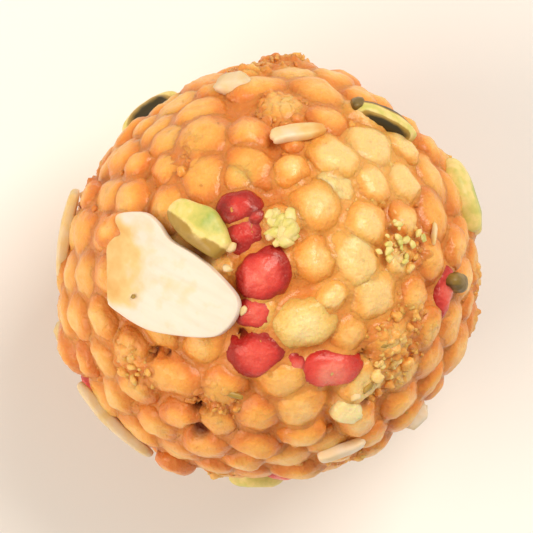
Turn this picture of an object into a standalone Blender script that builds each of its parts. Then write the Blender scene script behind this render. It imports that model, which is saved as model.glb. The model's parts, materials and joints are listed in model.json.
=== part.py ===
"""A boondi laddu, an Indian sweet: a hand-rolled ball of round fried gram-flour pearls, bound by sugar
syrup, with dyed red pearls and almond and pistachio pieces pressed into its surface.

Units are metres and +Z is up. The origin is the middle of the small flat spot that the ball rests on,
and +Y is the top of the picture when the ball is seen from above.
"""

import math
import random

import bmesh
import bpy
import numpy as np
from mathutils import Matrix, Vector

# The ball
BALL_RADIUS = 0.0240
BASE_SAG = 0.0013
CENTRE = Vector((0.0, 0.0, BALL_RADIUS - BASE_SAG))
HEEL_RADIUS = 0.0062
HEEL_DEPTH = 0.0032

# Where the palm pressed the ball flatter (-) or let it bulge (+): a direction from the centre and the
# change of radius there, which fades with the cube of the angle's cosine.
PALM_MARKS = (
    ((-0.76, 0.65, 0.05), -0.0019),
    ((-0.74, -0.66, -0.10), 0.0009),
    ((0.64, 0.70, -0.30), -0.0007),
    ((0.45, -0.55, -0.70), 0.0007),
    ((-0.30, 0.50, -0.81), -0.0006),
)

# The pearls
PEARL_RADIUS = 0.00248
PEARL_COUNT = 264
PEARL_SIZE_SPREAD = 0.13
PEARL_LIFT_LOW = -0.0008
PEARL_LIFT_HIGH = 0.0002
PEARL_ELBOW_ROOM = 1.05
PEARL_SIDES = 6
PEARL_RINGS = (42.0, 82.0)
PEARL_SWELL = 1.03
CORE_SINK = 0.0014
CORE_STEPS = 2
SPREAD_STEPS = 140
SPREAD_PUSH = 0.4
SEAT_JITTER = 0.35
LISTED_SEAT_CLEARANCE = 0.6
PEARL_SQUASH = (0.93, 1.07)
FACE_GOAL = 10600
ROLLING_SEED = 12

# Pearls that stand out, as seen from above: x, y, radius, and lift above the others.
PROUD_PEARLS = (
    (0.0028, 0.0213, 0.0029, 0.0004),
    (0.0196, 0.0116, 0.0027, 0.0002),
    (0.0214, 0.0056, 0.0026, 0.0004),
    (-0.0215, -0.0091, 0.0025, 0.0006),
    (-0.0095, -0.0202, 0.0026, 0.0008),
    (0.0070, 0.0112, 0.0027, 0.0002),
    (0.0109, 0.0085, 0.0025, 0.0000),
    (0.0053, 0.0063, 0.0026, 0.0001),
    (0.0102, 0.0044, 0.0028, 0.0003),
    (0.0140, 0.0123, 0.0027, 0.0000),
    (-0.0018, 0.0139, 0.0026, 0.0000),
    (0.0050, 0.0008, 0.0025, -0.0001),
    (0.0110, -0.0030, 0.0028, 0.0001),
    (-0.0095, -0.0112, 0.0029, 0.0002),
    (0.0034, -0.0146, 0.0025, 0.0002),
    (0.0095, -0.0158, 0.0027, 0.0003),
    (-0.0010, -0.0184, 0.0026, 0.0001),
    (-0.0074, 0.0165, 0.0026, -0.0002),
)
RED_PEARLS = (
    (-0.0003, -0.0009, 0.0028, 0.0003),
    (-0.0028, 0.0070, 0.0023, -0.0004),
    (-0.0022, 0.0036, 0.0021, -0.0003),
    (-0.0010, -0.0090, 0.0028, 0.0001),
    (0.0065, -0.0107, 0.0027, 0.0001),
    (0.0186, -0.0025, 0.0023, -0.0004),
)
PALE_PEARLS = (
    (0.0038, -0.0060, 0.0029, 0.0003),
)
HIDDEN_RED_SHARE = 0.09

# Nut pieces that show from above: kind, x, y, turn in degrees, length, width, thickness.
TOP_NUTS = (
    ("almond_flake", -0.0106, -0.0009, -24.0, 0.0172, 0.0104, 0.0013),
    ("pistachio", -0.0073, 0.0047, -34.0, 0.0096, 0.0044, 0.0034),
    ("pistachio", 0.0133, 0.0166, -21.0, 0.0084, 0.0027, 0.0030),
    ("pistachio", 0.0215, -0.0018, -8.0, 0.0036, 0.0022, 0.0024),
    ("pistachio", 0.0015, 0.0049, 80.0, 0.0048, 0.0036, 0.0036),
    ("nib", -0.0039, 0.0215, 35.0, 0.0042, 0.0034, 0.0030),
    ("nib", 0.0170, -0.0172, 25.0, 0.0042, 0.0027, 0.0026),
    ("almond_sliver", 0.0035, 0.0150, 20.0, 0.0064, 0.0019, 0.0013),
    ("almond_sliver", 0.0084, -0.0207, 12.0, 0.0056, 0.0017, 0.0013),
)

# Nut pieces below the widest level, which doesn't show from above: kind, number, length, width,
# thickness. The two limits are heights as a share of the radius.
HIDDEN_NUTS = (
    ("almond_flake", 2, 0.0135, 0.0085, 0.0013),
    ("almond_sliver", 4, 0.0110, 0.0022, 0.0014),
    ("pistachio", 5, 0.0080, 0.0042, 0.0032),
    ("nib", 4, 0.0040, 0.0032, 0.0030),
)
HIDDEN_NUT_TOP = 0.10
HIDDEN_NUT_BOTTOM = -0.72
HIDDEN_NUT_SCALE = (0.8, 1.15)
NUT_PLACE_TRIES = 24
NUT_SEED = 5

# How far each kind of nut piece is pressed in below the pearls' crests.
NUT_SINK = {
    "almond_flake": 0.0006,
    "almond_sliver": 0.0006,
    "pistachio": 0.0009,
    "nib": 0.0012,
}
FLAKE_BEND_RADIUS = 0.032
SLIVER_BEND_RADIUS = 0.028
EGG_LEAN = 0.8
EGG_FULLNESS = 0.75
FLAKE_STEPS = 7
SLIVER_STEPS = 4
FLAKE_END_SHARE = 0.42
SLIVER_END_SHARE = 0.35
NIB_KNOCK = 0.22
NIB_CHIP = 0.22

CUTTER_SIDE = 0.070
CUTTER_DEPTH = 0.010


def clear_scene():
    """Leaves an empty scene."""
    for obj in list(bpy.data.objects):
        bpy.data.objects.remove(obj, do_unlink=True)


def food_material(name, colour, roughness):
    """A plain finish of one colour, from an RGB triple in linear light."""
    material = bpy.data.materials.new(name)
    material.use_nodes = True
    shader = material.node_tree.nodes["Principled BSDF"]
    shader.inputs["Base Color"].default_value = (*colour, 1.0)
    shader.inputs["Roughness"].default_value = roughness
    shader.inputs["Metallic"].default_value = 0.0
    material.diffuse_color = (*colour, 1.0)
    return material


def ball_radius(direction):
    """The uneven ball's radius in a unit direction from its centre."""
    radius = BALL_RADIUS
    for mark, change in PALM_MARKS:
        facing = max(0.0, direction.dot(Vector(mark).normalized()))
        radius += change * facing**3
    return radius


def direction_of(x, y, reach):
    """The unit direction, on the upper half, of a point at x, y and this far from the centre."""
    height = math.sqrt(max(0.0, reach * reach - x * x - y * y))
    return Vector((x, y, height)).normalized()


def golden_spiral(count):
    """Unit directions spread evenly over a sphere."""
    turn = math.pi * (3.0 - math.sqrt(5.0))
    directions = []
    for i in range(count):
        z = 1.0 - 2.0 * (i + 0.5) / count
        ring = math.sqrt(1.0 - z * z)
        directions.append(Vector((ring * math.cos(i * turn), ring * math.sin(i * turn), z)))
    return directions


def pearl_seats():
    """Each pearl's direction, radius, lift and kind. The listed pearls keep their places, and the others
    shuffle apart to fill the gaps evenly."""
    rng = random.Random(ROLLING_SEED)
    listed = [(*pearl, "pearl") for pearl in PROUD_PEARLS]
    listed += [(*pearl, "red_pearl") for pearl in RED_PEARLS]
    listed += [(*pearl, "pale_pearl") for pearl in PALE_PEARLS]
    seats = []
    for x, y, radius, lift, kind in listed:
        direction = direction_of(x, y, BALL_RADIUS - radius + lift)
        seats.append([direction, radius, lift, kind])
    spacing = 2.0 * PEARL_RADIUS / BALL_RADIUS
    for direction in golden_spiral(PEARL_COUNT):
        if len(seats) >= PEARL_COUNT:
            break
        nearest = min((direction - seat[0]).length for seat in seats[: len(listed)])
        if nearest < LISTED_SEAT_CLEARANCE * spacing:
            continue
        jitter = Vector((rng.uniform(-1, 1), rng.uniform(-1, 1), rng.uniform(-1, 1)))
        direction = (direction + SEAT_JITTER * spacing * jitter).normalized()
        radius = PEARL_RADIUS * rng.uniform(1.0 - PEARL_SIZE_SPREAD, 1.0 + PEARL_SIZE_SPREAD)
        lift = rng.uniform(PEARL_LIFT_LOW, PEARL_LIFT_HIGH)
        hidden = direction.z < HIDDEN_NUT_TOP
        kind = "red_pearl" if hidden and rng.random() < HIDDEN_RED_SHARE else "pearl"
        seats.append([direction, radius, lift, kind])

    places = np.array([seat[0] for seat in seats])
    radii = np.array([seat[1] for seat in seats])
    free = np.array([0.0] * len(listed) + [1.0] * (len(seats) - len(listed)))
    wanted = PEARL_ELBOW_ROOM * (radii[:, None] + radii[None, :]) / (BALL_RADIUS - PEARL_RADIUS)
    for _ in range(SPREAD_STEPS):
        apart = places[:, None, :] - places[None, :, :]
        distance = np.linalg.norm(apart, axis=2)
        np.fill_diagonal(distance, 1.0)
        short = np.clip(wanted - distance, 0.0, None)
        np.fill_diagonal(short, 0.0)
        push = (apart / distance[:, :, None] * short[:, :, None]).sum(axis=1)
        places += SPREAD_PUSH * free[:, None] * push
        places /= np.linalg.norm(places, axis=1)[:, None]
    for seat, place in zip(seats, places):
        seat[0] = Vector(place)
    return seats


def upright_matrix(direction, distance, turn):
    """A frame whose +Z points out of the ball and whose +X lies along the turn, in degrees, from above."""
    heading = Vector((math.cos(math.radians(turn)), math.sin(math.radians(turn)), 0.0))
    along = heading - heading.dot(direction) * direction
    if along.length < 0.05:
        along = direction.orthogonal()
    along.normalize()
    across = direction.cross(along)
    frame = Matrix((along, across, direction)).transposed().to_4x4()
    frame.translation = CENTRE + distance * direction
    return frame


def object_of(name, mesh, material, collection, frame):
    """A mesh, given in its own frame, as an object standing in the ball's frame."""
    made = bpy.data.meshes.new(name)
    mesh.transform(frame)
    bmesh.ops.recalc_face_normals(mesh, faces=mesh.faces)
    mesh.to_mesh(made)
    mesh.free()
    made.materials.append(material)
    obj = bpy.data.objects.new(name, made)
    collection.objects.link(obj)
    return obj


def pearl_shape(radius, rng):
    """One fried pearl: a slightly squashed dome with few sides, tapering to a point inside the core. The
    rings are angles down from its crest, in degrees, each turned by half a side from the last."""
    mesh = bmesh.new()
    size = radius * PEARL_SWELL
    step = math.tau / PEARL_SIDES
    first = rng.uniform(0.0, math.tau)
    crest = mesh.verts.new((0.0, 0.0, radius))
    root = mesh.verts.new((0.0, 0.0, -radius))
    rings = []
    for level, angle in enumerate(PEARL_RINGS):
        reach = size * math.sin(math.radians(angle))
        height = size * math.cos(math.radians(angle))
        ring = []
        for i in range(PEARL_SIDES):
            turn = first + step * (i + 0.5 * level)
            ring.append(mesh.verts.new((reach * math.cos(turn), reach * math.sin(turn), height)))
        rings.append(ring)
    for i in range(PEARL_SIDES):
        j = (i + 1) % PEARL_SIDES
        mesh.faces.new((crest, rings[0][i], rings[0][j]))
        for upper, lower in zip(rings, rings[1:]):
            mesh.faces.new((upper[i], lower[i], upper[j]))
            mesh.faces.new((upper[j], lower[i], lower[j]))
        mesh.faces.new((rings[-1][j], rings[-1][i], root))
    squash = Vector((rng.uniform(*PEARL_SQUASH), rng.uniform(*PEARL_SQUASH), 1.0))
    bmesh.ops.scale(mesh, vec=squash, verts=mesh.verts)
    return mesh


def bend_along(mesh, bend_radius):
    """Curves a flat piece down at its ends, so that it lies along the ball."""
    for vert in mesh.verts:
        vert.co.z -= (vert.co.x**2 + 0.5 * vert.co.y**2) / (2.0 * bend_radius)


def blade(length, width, thickness, steps, end_share):
    """A flat slice with an egg-shaped outline, widest towards -X, whose blunt ends keep a share of the
    full width."""
    mesh = bmesh.new()
    upper, lower = [], []
    for i in range(steps + 1):
        t = i / steps
        bulge = max(0.0, math.sin(math.pi * t**EGG_LEAN)) ** EGG_FULLNESS
        swell = end_share + (1.0 - end_share) * bulge
        x = length * (t - 0.5)
        half = 0.5 * width * swell
        upper.append([mesh.verts.new((x, side * half, 0.5 * thickness)) for side in (1, -1)])
        lower.append([mesh.verts.new((x, side * half, -0.5 * thickness)) for side in (1, -1)])
    for i in range(steps):
        near_up, far_up, near_low, far_low = upper[i], upper[i + 1], lower[i], lower[i + 1]
        mesh.faces.new((near_up[0], near_up[1], far_up[1], far_up[0]))
        mesh.faces.new((near_low[1], near_low[0], far_low[0], far_low[1]))
        mesh.faces.new((near_up[0], far_up[0], far_low[0], near_low[0]))
        mesh.faces.new((far_up[1], near_up[1], near_low[1], far_low[1]))
    mesh.faces.new((upper[0][1], upper[0][0], lower[0][0], lower[0][1]))
    mesh.faces.new((upper[-1][0], upper[-1][1], lower[-1][1], lower[-1][0]))
    return mesh


def almond_flake(length, width, thickness, _rng):
    """A thin slice across an almond kernel."""
    mesh = blade(length, width, thickness, FLAKE_STEPS, FLAKE_END_SHARE)
    bend_along(mesh, FLAKE_BEND_RADIUS)
    return mesh


def almond_sliver(length, width, thickness, _rng):
    """A thin stick cut from an almond."""
    mesh = blade(length, width, thickness, SLIVER_STEPS, SLIVER_END_SHARE)
    bend_along(mesh, SLIVER_BEND_RADIUS)
    return mesh


def pistachio(length, width, thickness, _rng):
    """A split pistachio kernel: an oval with few sides."""
    mesh = bmesh.new()
    bmesh.ops.create_uvsphere(mesh, u_segments=8, v_segments=6, radius=0.5)
    bmesh.ops.rotate(mesh, matrix=Matrix.Rotation(math.pi / 2, 3, "Y"), verts=mesh.verts)
    bmesh.ops.scale(mesh, vec=(length, width, thickness), verts=mesh.verts)
    return mesh


def nib(length, width, thickness, rng):
    """A chopped bit of nut: a block with its corners knocked about."""
    mesh = bmesh.new()
    bmesh.ops.create_cube(mesh, size=1.0)
    for vert in mesh.verts:
        vert.co *= rng.uniform(1.0 - NIB_KNOCK, 1.0)
    bmesh.ops.bevel(mesh, geom=mesh.verts[:], offset=NIB_CHIP, segments=1, affect="VERTICES")
    bmesh.ops.scale(mesh, vec=(length, width, thickness), verts=mesh.verts)
    bmesh.ops.triangulate(mesh, faces=mesh.faces)
    return mesh


NUT_SHAPES = {
    "almond_flake": almond_flake,
    "almond_sliver": almond_sliver,
    "pistachio": pistachio,
    "nib": nib,
}


def nut_pieces():
    """Every nut piece: kind, direction, turn, length, width and thickness."""
    rng = random.Random(NUT_SEED)
    pieces = []
    for kind, x, y, turn, length, width, thickness in TOP_NUTS:
        pieces.append((kind, direction_of(x, y, BALL_RADIUS), turn, length, width, thickness))
    taken = [piece[1] for piece in pieces]
    for kind, number, length, width, thickness in HIDDEN_NUTS:
        for _ in range(number):
            best = None
            for _ in range(NUT_PLACE_TRIES):
                z = rng.uniform(HIDDEN_NUT_BOTTOM, HIDDEN_NUT_TOP)
                bearing = rng.uniform(0.0, math.tau)
                ring = math.sqrt(1.0 - z * z)
                direction = Vector((ring * math.cos(bearing), ring * math.sin(bearing), z))
                room = min((direction - other).length for other in taken)
                if best is None or room > best[0]:
                    best = (room, direction)
            taken.append(best[1])
            size = rng.uniform(*HIDDEN_NUT_SCALE)
            turn = rng.uniform(0.0, 360.0)
            pieces.append((kind, best[1], turn, length * size, width * size, thickness))
    return pieces


def core_object(material):
    """The packed middle of the ball, which shows only at the bottom of the pits between pearls, with the
    heel of squashed pearls under it that makes the flat spot."""
    mesh = bmesh.new()
    bmesh.ops.create_icosphere(mesh, subdivisions=CORE_STEPS, radius=1.0)
    for vert in mesh.verts:
        direction = vert.co.normalized()
        vert.co = (ball_radius(direction) - CORE_SINK) * direction
    return object_of("laddu", mesh, material, bpy.context.scene.collection, Matrix.Translation(CENTRE))


def heel_object(material, collection):
    """A short plug under the core, longer than the cut that follows."""
    mesh = bmesh.new()
    depth = HEEL_DEPTH + CUTTER_DEPTH / 2
    bmesh.ops.create_cone(
        mesh, cap_ends=True, segments=20, radius1=HEEL_RADIUS, radius2=HEEL_RADIUS, depth=depth
    )
    frame = Matrix.Translation((0.0, 0.0, HEEL_DEPTH - depth / 2))
    return object_of("heel", mesh, material, collection, frame)


def apply_modifiers(obj):
    """Turns the object's modifiers into its mesh."""
    graph = bpy.context.evaluated_depsgraph_get()
    mesh = bpy.data.meshes.new_from_object(obj.evaluated_get(graph))
    obj.modifiers.clear()
    obj.data = mesh


def fuse(core, pieces):
    """Joins everything in the collection to the core by one union, and removes the pieces."""
    union = core.modifiers.new("fused_pieces", "BOOLEAN")
    union.operation = "UNION"
    union.operand_type = "COLLECTION"
    union.collection = pieces
    union.solver = "EXACT"
    union.material_mode = "TRANSFER"
    apply_modifiers(core)
    for obj in list(pieces.objects):
        bpy.data.objects.remove(obj, do_unlink=True)
    bpy.data.collections.remove(pieces)


def cut_flat_spot(ball):
    """Cuts the sagged underside off at z = 0."""
    mesh = bmesh.new()
    bmesh.ops.create_cube(mesh, size=1.0)
    bmesh.ops.scale(mesh, vec=(CUTTER_SIDE, CUTTER_SIDE, CUTTER_DEPTH), verts=mesh.verts)
    frame = Matrix.Translation((0.0, 0.0, -CUTTER_DEPTH / 2))
    cutter = object_of("table_cutter", mesh, ball.data.materials[0], bpy.context.scene.collection, frame)
    cutter.hide_render = True
    cutter.display_type = "WIRE"
    cut = ball.modifiers.new("flat_spot", "BOOLEAN")
    cut.operation = "DIFFERENCE"
    cut.object = cutter
    cut.solver = "EXACT"
    apply_modifiers(ball)
    bpy.data.objects.remove(cutter, do_unlink=True)


def melt_slivers(ball):
    """Melts away the slivers that fusing leaves where faces cross, down to the wanted number of faces."""
    mesh = bmesh.new()
    mesh.from_mesh(ball.data)
    bmesh.ops.triangulate(mesh, faces=mesh.faces)
    faces = len(mesh.faces)
    mesh.to_mesh(ball.data)
    mesh.free()
    melt = ball.modifiers.new("melted_slivers", "DECIMATE")
    melt.decimate_type = "COLLAPSE"
    melt.ratio = min(1.0, FACE_GOAL / faces)
    apply_modifiers(ball)


def keep_outer_skin(ball):
    """Fills the hollows that fusing sealed between pearls, and drops any loose scrap: only the largest
    connected skin stays."""
    mesh = bmesh.new()
    mesh.from_mesh(ball.data)
    seen = set()
    skins = []
    for start in mesh.faces:
        if start in seen:
            continue
        seen.add(start)
        skin, waiting = [], [start]
        while waiting:
            face = waiting.pop()
            skin.append(face)
            for edge in face.edges:
                if len(edge.link_faces) != 2:
                    continue
                for other in edge.link_faces:
                    if other not in seen:
                        seen.add(other)
                        waiting.append(other)
        skins.append(skin)
    skins.sort(key=len, reverse=True)
    dropped = [face for skin in skins[1:] for face in skin]
    bmesh.ops.delete(mesh, geom=dropped, context="FACES")
    mesh.to_mesh(ball.data)
    mesh.free()


def main():
    clear_scene()
    materials = {
        "pearl": food_material("syrup_soaked_boondi", (0.83, 0.33, 0.07), 0.35),
        "red_pearl": food_material("dyed_red_boondi", (0.60, 0.03, 0.03), 0.30),
        "pale_pearl": food_material("undyed_boondi", (0.90, 0.68, 0.30), 0.30),
        "almond_flake": food_material("blanched_almond", (0.90, 0.76, 0.48), 0.50),
        "pistachio": food_material("pistachio_kernel", (0.45, 0.50, 0.12), 0.50),
    }
    materials["almond_sliver"] = materials["almond_flake"]
    materials["nib"] = materials["almond_flake"]

    pieces = bpy.data.collections.new("pressed_in_pieces")
    bpy.context.scene.collection.children.link(pieces)
    core = core_object(materials["pearl"])
    heel_object(materials["pearl"], pieces)

    rng = random.Random(ROLLING_SEED)
    for i, (direction, radius, lift, kind) in enumerate(pearl_seats()):
        distance = ball_radius(direction) - radius + lift
        frame = upright_matrix(direction, distance, 0.0)
        object_of(f"{kind}_{i}", pearl_shape(radius, rng), materials[kind], pieces, frame)

    for i, (kind, direction, turn, length, width, thickness) in enumerate(nut_pieces()):
        distance = ball_radius(direction) - NUT_SINK[kind]
        frame = upright_matrix(direction, distance, turn)
        shape = NUT_SHAPES[kind](length, width, thickness, rng)
        object_of(f"{kind}_{i}", shape, materials[kind], pieces, frame)

    fuse(core, pieces)
    melt_slivers(core)
    cut_flat_spot(core)
    keep_outer_skin(core)


main()
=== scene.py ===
"""A boondi laddu with its real surface: syrup-soaked pearls, the crumbs that bind them, and the nuts.

It is laid out as an add-on. The sizes and colours that a user would change are properties, each group
of pieces has its own operator, and main() calls them in order. Sizes are in metres and turns in
degrees, unless a comment says otherwise.
"""

import json
import math
import random

import bmesh
import bpy
import numpy as np
from mathutils import Matrix, Vector, noise
from mathutils.bvhtree import BVHTree

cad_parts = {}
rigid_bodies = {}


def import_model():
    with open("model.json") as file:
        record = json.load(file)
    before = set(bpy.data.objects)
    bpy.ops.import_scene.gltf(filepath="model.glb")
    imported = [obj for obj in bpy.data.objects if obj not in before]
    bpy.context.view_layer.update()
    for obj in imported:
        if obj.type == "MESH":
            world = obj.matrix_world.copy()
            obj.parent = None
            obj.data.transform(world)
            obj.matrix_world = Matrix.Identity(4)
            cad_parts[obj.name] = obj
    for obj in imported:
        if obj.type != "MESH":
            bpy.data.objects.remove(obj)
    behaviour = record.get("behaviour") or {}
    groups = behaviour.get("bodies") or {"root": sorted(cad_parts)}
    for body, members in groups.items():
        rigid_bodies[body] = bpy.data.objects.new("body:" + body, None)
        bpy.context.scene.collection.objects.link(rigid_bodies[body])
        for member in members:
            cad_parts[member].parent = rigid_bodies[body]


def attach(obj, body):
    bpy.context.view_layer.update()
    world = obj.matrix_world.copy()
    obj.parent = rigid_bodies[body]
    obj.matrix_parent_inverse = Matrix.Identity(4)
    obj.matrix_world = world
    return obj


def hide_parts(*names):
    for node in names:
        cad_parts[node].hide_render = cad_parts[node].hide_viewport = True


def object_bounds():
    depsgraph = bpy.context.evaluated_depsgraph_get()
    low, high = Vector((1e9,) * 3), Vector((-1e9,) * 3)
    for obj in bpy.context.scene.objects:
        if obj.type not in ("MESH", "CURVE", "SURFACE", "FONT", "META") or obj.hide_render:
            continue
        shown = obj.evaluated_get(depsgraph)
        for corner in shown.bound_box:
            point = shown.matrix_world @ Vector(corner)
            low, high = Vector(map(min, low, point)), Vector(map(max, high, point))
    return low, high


bl_info = {
    "name": "Boondi laddu",
    "version": (1, 0, 0),
    "blender": (4, 5, 0),
    "location": "3D View > Sidebar > Laddu",
    "description": "Dresses a laddu with its pearls, binding crumbs, almond and pistachio",
    "category": "Object",
}

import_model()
CAD_LOW, CAD_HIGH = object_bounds()

# The ball, in metres, as the solid has it. The origin is the middle of its flat spot.
BALL_RADIUS = 0.0240
BASE_SAG = 0.0013
CENTRE = Vector((0.0, 0.0, BALL_RADIUS - BASE_SAG))
# Where the palms pressed it: the direction, and how far the surface moves out
PALM_MARKS = (
    ((-0.76, 0.65, 0.05), -0.0019),
    ((-0.74, -0.66, -0.10), 0.0009),
    ((0.64, 0.70, -0.30), -0.0007),
    ((0.45, -0.55, -0.70), 0.0007),
    ((-0.30, 0.50, -0.81), -0.0006),
)

# The pearls' seats, as the solid has them. Each listed one is x, y, radius and lift
PEARL_RADIUS = 0.00248
PEARL_COUNT = 264
PEARL_SIZE_SPREAD = 0.13
PEARL_LIFT_LOW = -0.0008
PEARL_LIFT_HIGH = 0.0002
PEARL_ELBOW_ROOM = 1.05
SPREAD_STEPS = 140
SPREAD_PUSH = 0.4
SEAT_JITTER = 0.35
LISTED_SEAT_CLEARANCE = 0.6
ROLLING_SEED = 12
PROUD_PEARLS = (
    (0.0028, 0.0213, 0.0029, 0.0004),
    (0.0196, 0.0116, 0.0027, 0.0002),
    (0.0214, 0.0056, 0.0026, 0.0004),
    (-0.0215, -0.0091, 0.0025, 0.0006),
    (-0.0095, -0.0202, 0.0026, 0.0008),
    (0.0070, 0.0112, 0.0027, 0.0002),
    (0.0109, 0.0085, 0.0025, 0.0000),
    (0.0053, 0.0063, 0.0026, 0.0001),
    (0.0102, 0.0044, 0.0028, 0.0003),
    (0.0140, 0.0123, 0.0027, 0.0000),
    (-0.0018, 0.0139, 0.0026, 0.0000),
    (0.0050, 0.0008, 0.0025, -0.0001),
    (0.0110, -0.0030, 0.0028, 0.0001),
    (-0.0095, -0.0112, 0.0029, 0.0002),
    (0.0034, -0.0146, 0.0025, 0.0002),
    (0.0095, -0.0158, 0.0027, 0.0003),
    (-0.0010, -0.0184, 0.0026, 0.0001),
    (-0.0074, 0.0165, 0.0026, -0.0002),
)
RED_PEARLS = (
    (-0.0003, -0.0009, 0.0028, 0.0003),
    (-0.0028, 0.0070, 0.0023, -0.0004),
    (-0.0022, 0.0036, 0.0021, -0.0003),
    (-0.0010, -0.0090, 0.0028, 0.0001),
    (0.0065, -0.0107, 0.0027, 0.0001),
    (0.0186, -0.0025, 0.0023, -0.0004),
)
PALE_PEARLS = (
    (0.0038, -0.0060, 0.0029, 0.0003),
)
HIDDEN_RED_SHARE = 0.09
# Smaller bits of red between the red pearls
RED_BITS = (
    (-0.0012, -0.0050, 0.0017, -0.0003),
    (0.0030, -0.0108, 0.0014, -0.0005),
    (-0.0042, 0.0060, 0.0012, -0.0002),
    (-0.0013, 0.0053, 0.0012, -0.0003),
)
# A broken pale pearl among the crumbs, its paleness partly a painted highlight
PALE_BITS = (
    (0.0088, -0.0154, 0.0019, 0.0002),
)
# What shows of a red pearl where it isn't all that the solid has: its number, x, y, radius and lift
SHOWN_RED = {1: (-0.0028, 0.0061, 0.0019, 0.0001)}
# Orange pearls that fill the room beside them
FILLING_PEARLS = (
    (-0.0030, 0.0096, 0.0018, -0.0004),
)
# Pearls that the hand rolled longer than wide: where they sit, how much, and the turn from above
STRETCHED = {
    (0.0065, -0.0107): (1.28, -6.0),
    (-0.0010, -0.0090): (1.12, 30.0),
    (0.0186, -0.0025): (1.30, 78.0),
    (0.0038, -0.0060): (1.14, 12.0),
    (-0.0095, -0.0112): (1.22, -10.0),
}
# A pearl within this share of the ball's radius of a listed place is the one that is meant
SAME_SEAT = 0.03
# How far the hand squeezed the other pearls, and their sizes as shares of the solid's
SQUEEZE = (0.98, 1.18)
SHOWN_SIZES = (0.74, 0.86, 0.95, 1.0, 1.06, 1.12)
# Syrup swells the deepest pearls up to here
LOWEST_LIFT = -0.00045
# A squashed pearl in the bite at the big flake's corner, and its thickness as a share of its radius
SQUASHED_PEARLS = (
    (-0.0174, 0.0040, 0.0019, 0.0012),
)
SQUASHED_THICKNESS = 0.8
# A pearl's own tint, before what its place adds, which is partly painted light
LEAST_TINT = 0.15
TINT_SPREAD = 0.6

# Gaps between pearls, dented in and painted dark as shade: x, y, reach and depth
PITS = (
    (-0.0058, -0.0180, 0.0020, 0.0022),
    (-0.0082, -0.0170, 0.0015, 0.0022),
    (-0.0118, -0.0096, 0.0012, 0.0020),
    (-0.0119, -0.0110, 0.0011, 0.0018),
    (0.0132, -0.0091, 0.0011, 0.0008),
    (0.0113, -0.0138, 0.0013, 0.0008),
    (-0.0034, -0.0064, 0.0012, 0.0015),
)
HIDDEN_PITS = 12
HIDDEN_PIT_REACH = (0.0011, 0.0022)
HIDDEN_PIT_DEPTH = (0.0014, 0.0024)
PIT_SEED = 8
# A gap slides off the nearest pearl's middle by steps, each a share of the ball's radius
PIT_SLIDE_STEPS = 30
PIT_SLIDE = 0.004
# Its ragged rim: how far, as a share of its reach, and how many waves to a metre
PIT_RAGGEDNESS = 0.60
PIT_RAG_WAVES = 450.0
# A gap of this depth is painted fully dark, as shade
FULL_SHADE_DEPTH = 0.0016

# Where the hand crushed the pearls into a crumbly crust: x, y, reach, and how far
CRUSHED_PLACES = (
    (0.0154, -0.0085, 0.0062, 1.0),
    (0.0134, -0.0138, 0.0036, 0.7),
    (0.0160, 0.0020, 0.0042, 0.9),
    (-0.0060, -0.0158, 0.0046, 0.7),
    (-0.0150, -0.0115, 0.0048, 0.8),
    (0.0015, 0.0185, 0.0045, 0.6),
    (-0.0095, 0.0125, 0.0045, 0.5),
)
CRUSHED_GAIN = 1.6
CRUSHED_FLOOR = 0.2
# Their ragged edges, as noises: how much, and how many waves to the ball's radius
RAGGED_EDGES = ((0.35, 9.0), (0.20, 23.0))
# On the hidden side the crushed places follow a noise above a level
HIDDEN_CRUSHED_TOP = 0.30
HIDDEN_CRUSHED_WAVES = 2.7
HIDDEN_CRUSHED_DRIFT = Vector((3.1, 1.7, 5.2))
HIDDEN_CRUSHED_LEVEL = 0.16
HIDDEN_CRUSHED_GAIN = 2.4

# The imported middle: steps of its grid, and how often a value is evened out over it
BINDER_STEPS = 127
SEAM_PASSES = 18
MEAN_PASSES = 54
CRUSH_PASSES = 4
SHADING_PASSES = 3
TINT_PASSES = 8
# How far it rises or sinks against the pearls around it
CRUST_RISE = 0.00040
CRUST_OVER_PEARLS = 0.00012
SYRUP_BELOW = 0.00006
FILM_IN_PIT = 0.00040
DEEPEST_PIT = 0.0024
# The film counts as clear of the pearls at this depth, and some crumbs lie in its seams too
CLEAR_DEPTH = 0.0002
SEAM_CRUMBS = 0.26
# Its painted shading: the film takes its pearls' painted light and shade, a little deeper as shade, within
# limits
FILM_SHADED_DEEPER = 0.05
SHADING_LIMITS = (0.40, 0.95)
SHADING_IN_GAPS = 0.45
TINT_IN_GAPS = 0.4

# Where the pearls are yellower than elsewhere, or more orange: x, y, reach, and how far. Partly the pearls'
# own tone, partly painted light: yellower on the lit right side and more orange on the shaded left
TONE_AND_LIGHT_PLACES = (
    (0.0085, 0.0080, 0.0100, 0.90),
    (0.0100, 0.0040, 0.0030, 0.50),
    (0.0150, 0.0125, 0.0070, 1.80),
    (0.0070, 0.0112, 0.0040, 0.90),
    (0.0105, -0.0020, 0.0055, 1.50),
    # Partly a painted highlight on the pale bit
    (0.0090, -0.0154, 0.0048, 2.00),
    (0.0020, 0.0190, 0.0060, 0.35),
    (0.0158, 0.0022, 0.0048, 0.60),
    (0.0150, -0.0090, 0.0070, 0.35),
    (0.0068, -0.0107, 0.0030, 0.75),
    (-0.0010, -0.0090, 0.0028, -0.30),
    (-0.0025, 0.0055, 0.0038, -1.00),
    (-0.0085, 0.0120, 0.0090, -0.15),
    (-0.0100, -0.0150, 0.0100, -0.35),
)
# How far the big flake presses the pearls under it in
FLAKE_PRESS = 0.0007
# It presses no pearl this near to its ends
FLAKE_RIM = 0.001

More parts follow.
